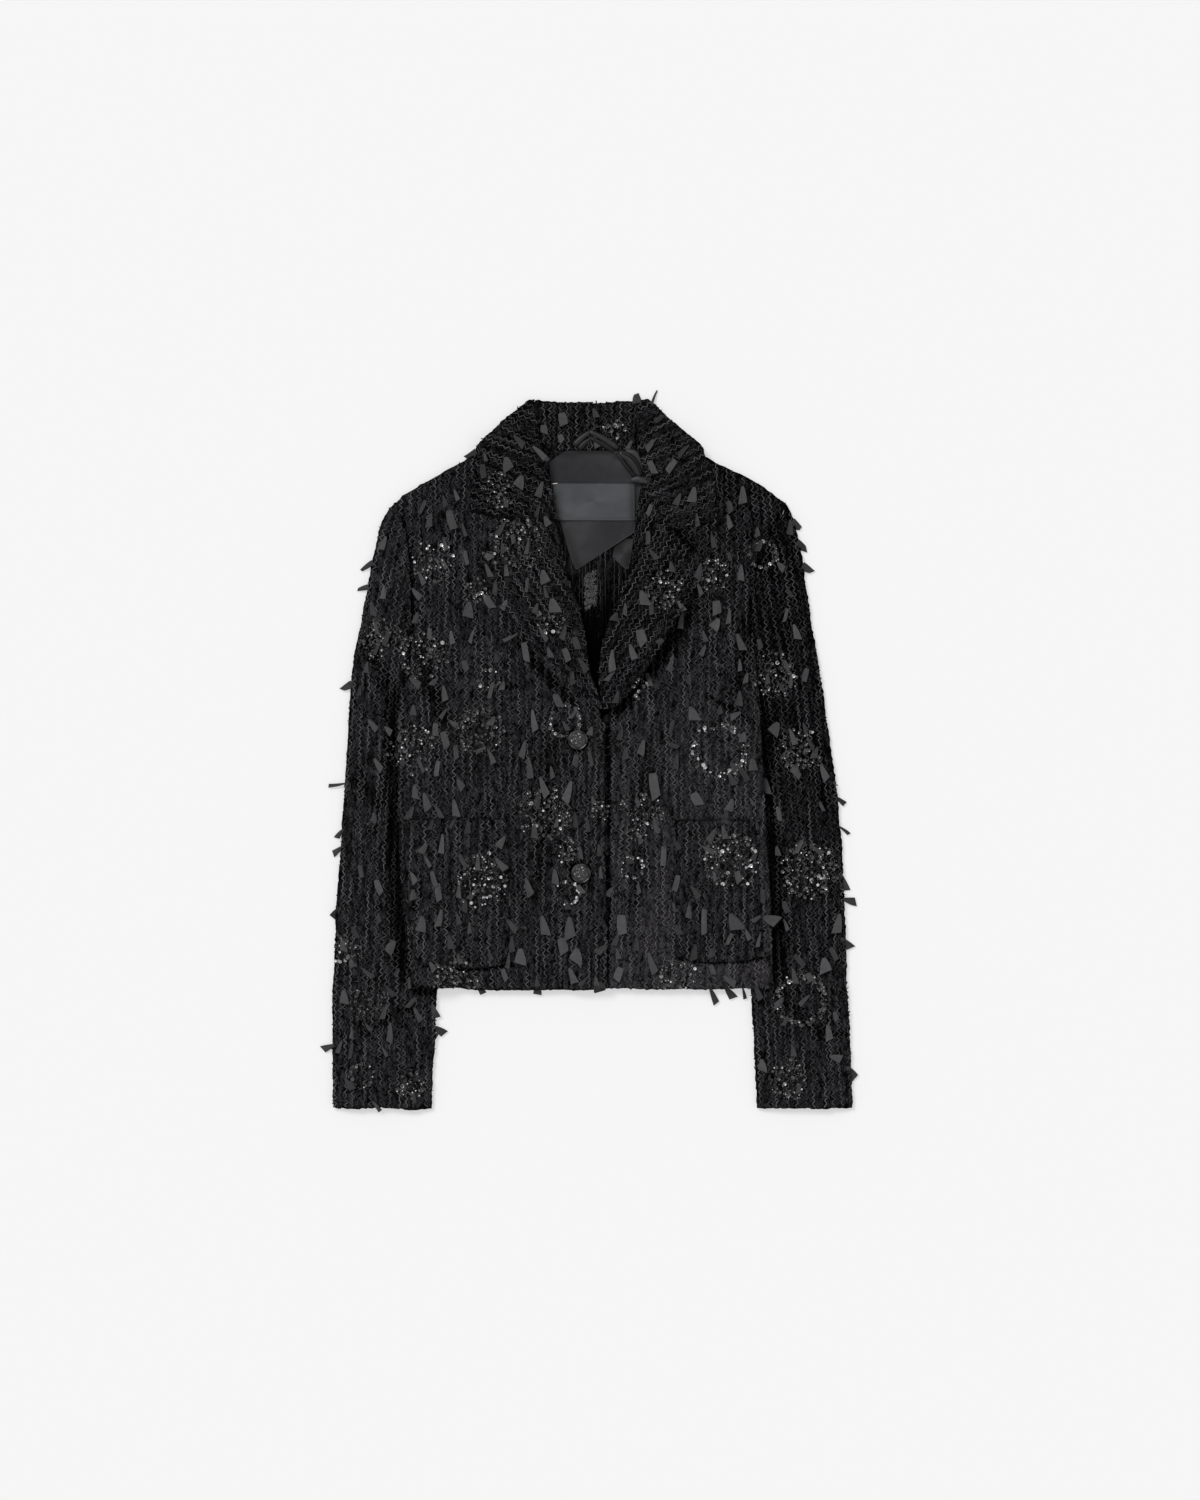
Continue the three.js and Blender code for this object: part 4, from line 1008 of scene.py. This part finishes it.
trims = {node: [] for node in panels}
for number, node in enumerate(TWEED_PANELS):
    draws = np.random.RandomState(100 + number)
    yarns, loops = Heap(), Heap()
    add_yarns(yarns, panels[node], node, draws)
    add_loops(loops, panels[node], node, draws)
    trims[node] = [yarns.build(f"yarns_{node}", YARN, SLOT), loops.build(f"boucle_{node}", BOUCLE, SLOT)]

# Ribs on the inside of the back, and the middle and reach of a frayed pale patch high on it
RIB_SPACING = 3.2
RIB_AMPLITUDE = 0.35
PATCH_MIDDLE = (-1.5, 170)
PATCH_REACH = (6.0, 18)
PATCH_STRANDS = 260


def dress_inside():
    draws = np.random.RandomState(90)
    ribs, patch = Heap(), Heap()
    for name, panel in insides.items():
        add_yarns(ribs, panel, name, draws, RIB_SPACING, RIB_AMPLITUDE, brightness)
    ribs.build("inside_ribs", INSIDE_RIB, SLOT)
    x = PATCH_MIDDLE[0] + PATCH_REACH[0] * draws.uniform(-1, 1, PATCH_STRANDS)
    y = PATCH_MIDDLE[1] + PATCH_REACH[1] * draws.uniform(-1, 1, PATCH_STRANDS) + 0.5 * x
    centre, _ = lying(insides["inside_back_right"], x, y, 0.6)
    turn = draws.uniform(0, math.pi, PATCH_STRANDS)[:, None]
    t = np.linspace(-1.6, 1.6, 4) * MM
    rise = np.repeat(draws.uniform(0, 1.2, (PATCH_STRANDS, 1)) * MM, len(t), axis=1)
    paths = centre[:, None] + np.stack([t * np.cos(turn), t * np.sin(turn), rise], -1)
    radii = draws.uniform(0.4, 0.7, PATCH_STRANDS) * MM
    add_tubes(patch, paths, radii, draws.uniform(0.6, 1, PATCH_STRANDS))
    patch.build("inside_patch", YARN, SLOT)


dress_inside()


# Ribbon ends

def surface_height(x, y):
    """Highest tweed surface at garment millimetres, in metres, or None outside all panels."""
    px, py = (np.atleast_1d(v) for v in place(x, y))
    best = None
    for node in TWEED_PANELS:
        panel = panels[node]
        if panel.left.min() <= px[0] <= panel.right.max() and panel.ys[-1] <= py[0] <= panel.ys[0]:
            z = panel.sample(panel.z, px, py)[0]
            if panel.inside(px, py)[0] >= 0 and (best is None or z > best):
                best = float(z)
    return best


# Widths along a ribbon end, as shares of its own width
WEDGE = np.array([0.28, 0.5, 0.68, 0.82, 0.93, 1.0])
BAND = np.array([0.62, 0.75, 0.8, 0.82, 0.8, 0.78])
SHRED = np.array([1.0, 0.97, 0.9, 0.79, 0.64, 0.46])
# How much of its height a ribbon end keeps at each station past an edge, and how far it lies over the cloth
DROOP = 0.62
TAB_LIFT = 1.0


def add_tab(heap, x, y, angle, length, width, shade, rise=1.6, form=None):
    """A cut ribbon end: a wedge, a band or a torn shred. Angle 0 points down, + towards +X. Its form, bend,
    cup and skew vary with its place alone."""
    if form is None:
        form = BAND if math.sin(12.9 * x + 78.2 * y) > 0.6 else WEDGE
    turn = math.radians(angle)
    t = np.linspace(0, 1, len(form))
    away = np.array([math.sin(turn), -math.cos(turn)])
    bend = 0.12 * length * math.sin(x * 1.7 + y) * t * t
    xs = x + away[0] * length * (t - 0.5) + away[1] * bend
    ys = y + away[1] * length * (t - 0.5) - away[0] * bend
    heights = [surface_height(*point) for point in zip(xs, ys)]
    if heights[0] is None:
        return
    base, droop = [heights[0]], 1.0
    for height in heights[1:]:
        droop *= DROOP if height is None else 1.0
        base.append(base[0] * droop if height is None else max(height, base[0] - 1.0 * MM))
    z = np.array(base) + (TAB_LIFT + rise * droop * np.sin(0.5 * math.pi * t)) * MM
    cup, skew = 0.5 * math.sin(x + 2 * y), 0.22 * width * math.sin(3.1 * x + y)
    strip(heap, points_at(xs, ys, z), width * form, shade, cup=cup, skew=skew)


# Ribbon ends that show most, in garment millimetres: their middle, direction, length and width
TABS = [
    (-147, 242, 8, 20, 10), (-170, 279, -10, 12, 6), (-141, 268, 20, 12, 5), (-216, 218, -15, 15, 7),
    (-216, 167, 0, 14, 6), (-109, 205, 60, 12, 8), (-108, 157, 25, 16, 9), (-128, 149, 0, 16, 12),
    (-50, 183, 10, 14, 11), (-40, 153, 15, 15, 13), (-69, 105, 12, 20, 8), (-146, 120, 5, 14, 6),
    (-153, 62, 10, 16, 7), (-36, 54, 20, 14, 9), (-152, 14, 20, 17, 9), (-61, 34, 5, 22, 7),
    (-71, 4, -10, 18, 7), (-104, -4, 30, 14, 6), (-161, -16, -12, 16, 6), (-64, -15, 12, 22, 7),
    (-51, -35, 15, 21, 8), (-24, -40, -12, 22, 9), (-172, -50, 15, 18, 9), (-142, -57, 10, 18, 8),
    (-155, -94, 0, 20, 6), (-174, -99, -30, 12, 8), (-94, -92, -35, 13, 8), (-185, -129, 30, 12, 7),
    (-222, -139, 15, 15, 8), (-160, -144, 0, 18, 8), (-66, -139, 18, 19, 8), (-157, -171, -6, 18, 7),
    (-176, -177, 0, 16, 11), (-50, -179, 12, 20, 10), (-24, -181, -5, 22, 12), (-74, -211, 5, 16, 13),
    (-16, -210, 0, 14, 15), (-209, -201, -20, 14, 11), (-257, -253, 10, 14, 10), (-209, -290, 5, 20, 7),
    (105, 268, -8, 16, 10), (157, 268, 6, 18, 9), (142, 240, 8, 14, 6), (53, 161, 15, 16, 11),
    (51, 120, 12, 16, 12), (20, 96, -6, 22, 8), (130, 151, 10, 14, 11), (129, 134, -20, 12, 11),
    (153, 115, 14, 18, 8), (212, 126, 20, 16, 8), (104, 41, 10, 15, 12), (52, 6, -12, 16, 8),
    (64, -34, 5, 26, 12), (108, -48, 25, 14, 12), (144, -54, -15, 13, 9), (167, -12, 15, 12, 10),
    (190, 26, -30, 13, 13), (240, -20, 14, 17, 8), (194, -63, 10, 15, 6), (75, -107, 4, 20, 7),
    (30, -178, -3, 20, 12), (116, -175, -2, 26, 7), (147, -175, 20, 18, 15), (185, -173, 70, 16, 13),
    (256, -177, -6, 20, 10), (61, -218, 12, 22, 8), (27, -229, -25, 14, 10), (242, -220, 10, 15, 13),
    (177, -324, 10, 12, 10), (253, -316, 80, 12, 9), (246, -290, 12, 16, 8), (120, -100, 60, 14, 6),
    (-38, -128, 10, 16, 8), (-30, -200, 15, 16, 12), (82, 298, -40, 15, 8), (62, 296, 20, 14, 8),
    (-88, 300, 10, 14, 12), (-75, 282, -25, 13, 12), (-110, 322, 60, 24, 11), (-26, 102, 25, 14, 8),
    (-50, 336, 5, 9, 9), (-30, 347, 15, 13, 11), (-32, 327, 30, 8, 7), (-53, 311, 50, 22, 7),
]
# Ribbon ends that stand out past the outline: root on the cloth, direction, length and width
EDGE_TABS = [
    (62, 362, 165, 16, 3), (47, 364, 190, 10, 10), (-231, 196, -60, 15, 6), (-235, 172, -80, 12, 6),
    (-249, 72, -60, 13, 8), (-254, -31, -75, 20, 4), (-258, -79, -45, 12, 6), (-259, -97, -50, 13, 7),
    (-261, -160, -45, 14, 8), (-268, -303, -60, 13, 8), (-166, -284, 62, 15, 9), (-166, -302, 150, 14, 3),
    (-166, -262, 20, 14, 8), (207, 240, 50, 12, 10), (212, 218, 55, 13, 10), (219, 194, 60, 13, 9),
    (254, -46, 50, 12, 6), (256, -76, 60, 14, 4), (259, -126, 20, 18, 7), (262, -152, 70, 14, 9),
    (259, -192, 40, 15, 9), (265, -326, 40, 15, 10), (-120, -237, 25, 15, 7), (-57, -235, 5, 16, 9),
    (8, -237, 0, 11, 12), (122, -243, 25, 19, 7), (138, -243, 40, 15, 9), (156, -243, 20, 13, 4),
    (-134, 304, -60, 13, 8),
]
# Ends above this height on the outline are torn shreds
SHREDS_ABOVE = 60
# The other ribbon ends are scattered: how densely, how far apart, and how they turn, long and wide
SCATTERED_PER_MM2 = 0.0011
TAB_GAP = 13.0
TAB_TURN = (5, 22)
TAB_LENGTHS = (9, 17)
TAB_WIDTHS = (4, 8)


def dress_with_ribbon():
    draws = np.random.RandomState(7)
    heap = Heap()
    for tab in TABS:
        add_tab(heap, *tab, draws.uniform(0.45, 1.0), 2.0)
    for x, y, angle, length, width in EDGE_TABS:
        turn = math.radians(angle)
        away_x, away_y = math.sin(turn), -math.cos(turn)
        while surface_height(x, y) is None:
            x, y = x - 0.5 * away_x, y - 0.5 * away_y
        middle = (x + 0.5 * length * away_x, y + 0.5 * length * away_y)
        form = SHRED if y > SHREDS_ABOVE else WEDGE
        add_tab(heap, *middle, angle, length, width, draws.uniform(0.0, 0.45), 1.0, form)
    placed = [row[:2] for row in TABS]
    for node in TWEED_PANELS:
        panel = panels[node]
        count = max(1, round(panel.area() * SCATTERED_PER_MM2))
        for x, y in zip(*scatter_inside(panel, count, 4.0, draws)):
            angle = draws.normal(*TAB_TURN) + 0.8 * GRAIN.get(node, 0.0)
            length, width = draws.uniform(*TAB_LENGTHS), draws.uniform(*TAB_WIDTHS)
            shade, rise = draws.uniform(0.0, 0.8), draws.uniform(0.4, 1.6)
            if all(math.hypot(x - other[0], y - other[1]) > TAB_GAP for other in placed):
                add_tab(heap, x, y, angle, length, width, shade, rise)
                placed.append((x, y))
    made = heap.build("ribbon_ends", RIBBON, "ribbon", smooth=False)
    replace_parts(made, *[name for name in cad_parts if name.startswith("ribbon_")])


# Sequins and beads

def faceted(rings, sides, tip=None):
    """A small round piece of unit size: rings of radius and height from the top down, closed at both ends.
    Its top is flat, or a tip at a height."""
    vertices = [] if tip is None else [(0, 0, tip)]
    first = len(vertices)
    last = first + (len(rings) - 1) * sides
    faces = []
    for radius, height in rings:
        for k in range(sides):
            turn = 2 * math.pi * k / sides
            vertices.append((radius * math.cos(turn), radius * math.sin(turn), height))
    for k in range(sides):
        n = (k + 1) % sides
        if tip is not None:
            faces.append((0, first + k, first + n))
        for a in range(first, last, sides):
            b = a + sides
            faces += [(a + k, b + k, b + n), (a + k, b + n, a + n)]
    for k in range(1, sides - 1):
        if tip is None:
            faces.append((0, k, k + 1))
        faces.append((last, last + k + 1, last + k))
    return np.array(vertices, float), np.array(faces)


BEAD_SHAPE = faceted(((0.78, 0.62), (1.0, 0.0), (0.78, -0.5)), 6, 1.0)
SEQUIN_SHAPE = faceted(((0.35, -0.08), (1.0, 0.16), (0.9, -0.05)), 7)
BEAD_SIZES = (0.7, 1.2)
SEQUIN_SIZES = (1.3, 2.2)
BEAD_SHARE = 0.55
# The share of the pieces in a cluster of full glint share that are painted bright, as glints
PAINTED_GLINT_SHARE = 0.42
# Pieces in a cluster, for each mm² of its reach squared and as a least, with their lean and lift
CLUSTER_DENSITY = 0.15
CLUSTER_LEAST = 10
LEAN_SPREAD = 0.35
PIECE_LIFT = 1.3
# Clusters of sequins and beads: middle, reach, share of pieces painted as glints, and which of them are rings
RING = True
CLUSTERS = [
    (-165, 199, 23, 0.50), (-122, 170, 14, 0.30), (-80, 216, 29, 0.15),
    (-220, 118, 23, 0.12), (-174, 102, 26, 0.22), (-107, 77, 12, 0.05, RING),
    (-187, 3, 26, 0.30), (-116, 24, 26, 0.08), (-28, 34, 19, 0.25, RING),
    (-44, 137, 15, 0.40), (-116, -132, 30, 0.60), (-49, -64, 29, 0.15),
    (-26, -145, 14, 0.95, RING), (41, -119, 13, 0.95, RING), (50, -66, 25, 0.16),
    (133, 3, 30, 0.55, RING), (190, 81, 24, 0.35), (216, 3, 25, 0.10),
    (144, -111, 30, 0.36), (225, -122, 31, 0.30), (125, 185, 17, 0.40),
    (76, 170, 21, 0.25), (177, 206, 16, 0.18, RING), (24, 335, 13, 0.55),
    (-257, -205, 20, 0.30), (-239, -335, 14, 0.55, RING), (216, -257, 28, 0.25, RING),
    (206, -340, 22, 0.35), (-142, -234, 24, 0.08), (92, -236, 24, 0.25),
    (-189, -345, 15, 0.20), (-96, 274, 19, 0.04), (50, 66, 12, 0.30),
    (-28, -100, 14, 0.20), (-232, -260, 20, 0.10), (8, -60, 10, 0.45),
]


def tilted(vertices, size, lean, turn):
    """A piece's vertices at a size in mm, leaning to one side and turned about the vertical."""
    c, s = math.cos(lean), math.sin(lean)
    x, y, z = (vertices * size * MM).T
    y, z = y * c - z * s, y * s + z * c
    c, s = math.cos(turn), math.sin(turn)
    return np.stack([x * c - y * s, x * s + y * c, z], -1)


def dress_with_sequins():
    draws = np.random.RandomState(11)
    sequins, beads = Heap(), Heap()
    for x, y, reach, glint_share, *ring in CLUSTERS:
        for _ in range(int(CLUSTER_DENSITY * reach * reach) + CLUSTER_LEAST):
            share = draws.uniform(0.75, 1.0) if ring else math.sqrt(draws.uniform(0.0, 1.0))
            turn = draws.uniform(0, 2 * math.pi)
            spot = (x + reach * share * math.cos(turn), y + reach * share * math.sin(turn))
            base = surface_height(*spot)
            if base is None:
                continue
            lean = abs(draws.normal(0, LEAN_SPREAD))
            is_bead = draws.uniform() < BEAD_SHARE
            heap, (shape, faces), sizes = (
                (beads, BEAD_SHAPE, BEAD_SIZES) if is_bead else (sequins, SEQUIN_SHAPE, SEQUIN_SIZES)
            )
            size = draws.uniform(*sizes)
            # Painted glints: a few pieces get a bright colour for the light they catch, the rest a dark one
            painted_glint = draws.uniform() < PAINTED_GLINT_SHARE * glint_share
            shade = draws.uniform(0.35, 1.0) if painted_glint else draws.uniform(0, 0.2) ** 1.5
            vertices = tilted(shape, size, lean, draws.uniform(0, 2 * math.pi))
            heap.add(vertices + points_at(*spot, base + PIECE_LIFT * MM), [faces], shade)
    sequins.build("sequins", SEQUIN, "button", smooth=False)
    beads.build("beads", BEAD, "button")


# Buttons: the rings and spokes of their grid, and the share of the radius where a groove sets off the rim
BUTTON_RINGS, BUTTON_SPOKES = 26, 60
BUTTON_RIM = 0.86


def make_button(node):
    """A dome with a woven, slightly glossy face: rings crossed by curved spokes."""
    low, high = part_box(node)
    x, y = (low.x + high.x) / 2, (low.y + high.y) / 2
    radius, height = (high.x - low.x) / 2, high.z - low.z
    share = np.linspace(0, 1, BUTTON_RINGS)[:, None]
    turn = np.linspace(0, 2 * math.pi, BUTTON_SPOKES, endpoint=False)[None]
    dome = np.sqrt(np.maximum(1 - (share * 0.93) ** 2.6, 0))
    crossing = np.sin(share * 12) * np.sin(turn * 5 + share * 4) * np.sqrt(share)
    weave = 0.13 * crossing * (share < BUTTON_RIM)
    groove = 0.24 * np.exp(-(((share - BUTTON_RIM) / 0.05) ** 2))
    z = low.z + height * np.clip(0.25 + 0.7 * dome + weave - groove, 0, 1)
    vertices = np.stack([x + radius * share * np.cos(turn), y + radius * share * np.sin(turn), z], -1)
    skirt = vertices[-1].copy()
    skirt[:, 2] = low.z
    ends = [[x, y, float(z[0, 0])], [x, y, low.z]]
    vertices = np.concatenate([vertices[1:].reshape(-1, 3), skirt, ends])
    shade = np.concatenate([(0.5 + 0.5 * crossing)[1:].ravel(), np.zeros(BUTTON_SPOKES), [0.5, 0.0]])
    index = np.arange(BUTTON_RINGS * BUTTON_SPOKES).reshape(BUTTON_RINGS, BUTTON_SPOKES)
    after = np.roll(index, -1, axis=1)
    top, bottom = index.size, index.size + 1
    faces = walls_between(index).tolist()
    faces += [[top, int(a), int(b)] for a, b in zip(index[0], after[0])]
    faces += [[bottom, int(b), int(a)] for a, b in zip(index[-1], after[-1])]
    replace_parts(make_object(f"{node}_dome", vertices, faces, BUTTON, shade), node)


dress_with_ribbon()
dress_with_sequins()
for button in BUTTONS:
    make_button(button)


# What each cloth lies on; the loop below only looks it up
FLOOR = "floor"
RESTS_ON = {
    "back": FLOOR,
    "under_sleeve": FLOOR,
    "collar_fall": FLOOR,
    "front": "cloth_back_{side}",
    "upper_sleeve": "cloth_under_sleeve_{side}",
    "lapel": "cloth_front_{side}",
    "collar_leaf": "cloth_front_{side}",
    "pocket": "cloth_front_{side}",
    "collar_stand": "cloth_collar_fall",
    "neck_lining": "inside_back_right",
    "lining_flap": "inside_back_left",
    "label": "satin_neck_lining",
}


def declare_sheets():
    for node, panel in panels.items():
        form, _, side = node.rpartition("_") if node.endswith(("_right", "_left")) else (node, "", "")
        below = RESTS_ON[form].format(side=side)


# Floor, light and camera
FLOOR_REACH = 6.0
FLOOR_GREY = 0.43
FLOOR_GLOW = 0.46
SKY_STRENGTH = 0.555
# Name, strength, and in degrees the size, the tilt from straight down and the turn
SUNS = (("key", 1.9, 22, 43, 40), ("fill", 0.35, 60, 50, -130))
SENSOR = 36.0


def make_floor():
    """A pale floor that glows a little, as a light table does, so that the shadow on it is faint."""
    mesh = bpy.data.meshes.new("floor")
    corners = [(x * FLOOR_REACH, y * FLOOR_REACH, 0) for x, y in ((-1, -1), (1, -1), (1, 1), (-1, 1))]
    mesh.from_pydata(corners, [], [(0, 1, 2, 3)])
    settings = {
        "Base Color": (FLOOR_GREY, FLOOR_GREY, FLOOR_GREY, 1),
        "Emission Color": (1, 1, 1, 1),
        "Emission Strength": FLOOR_GLOW,
        "Roughness": 0.9,
        "Specular IOR Level": 0.1,
    }
    mesh.materials.append(Surface("floor", settings).material)
    add_to_scene("floor", mesh)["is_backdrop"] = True


def make_lights():
    world = bpy.data.worlds.new("studio")
    world.use_nodes = True
    background = world.node_tree.nodes["Background"].inputs
    background["Color"].default_value = (1, 1, 1, 1)
    background["Strength"].default_value = SKY_STRENGTH
    bpy.context.scene.world = world
    for name, strength, size, tilt, turn in SUNS:
        light = bpy.data.lights.new(name, "SUN")
        light.energy = strength
        light.angle = math.radians(size)
        lamp = add_to_scene(name, light)
        lamp.rotation_euler = (math.radians(tilt), 0, math.radians(turn + 180))


def make_camera():
    camera = bpy.data.cameras.new("camera")
    camera.sensor_fit = "VERTICAL"
    camera.sensor_height = SENSOR
    camera.lens = SENSOR * CAMERA_HEIGHT / (VIEW_HEIGHT * MM)
    camera.clip_end = 50.0
    holder = add_to_scene("camera", camera)
    holder.location = (*map(float, place(*VIEW_MIDDLE)), CAMERA_HEIGHT)
    bpy.context.scene.camera = holder
    bpy.context.scene.view_settings.view_transform = "Standard"


make_floor()
make_lights()
make_camera()
declare_sheets()

boxes = {"cad": cad_box, "visual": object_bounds()}
{name: [[float(v) for v in corner] for corner in box] for name, box in boxes.items()}
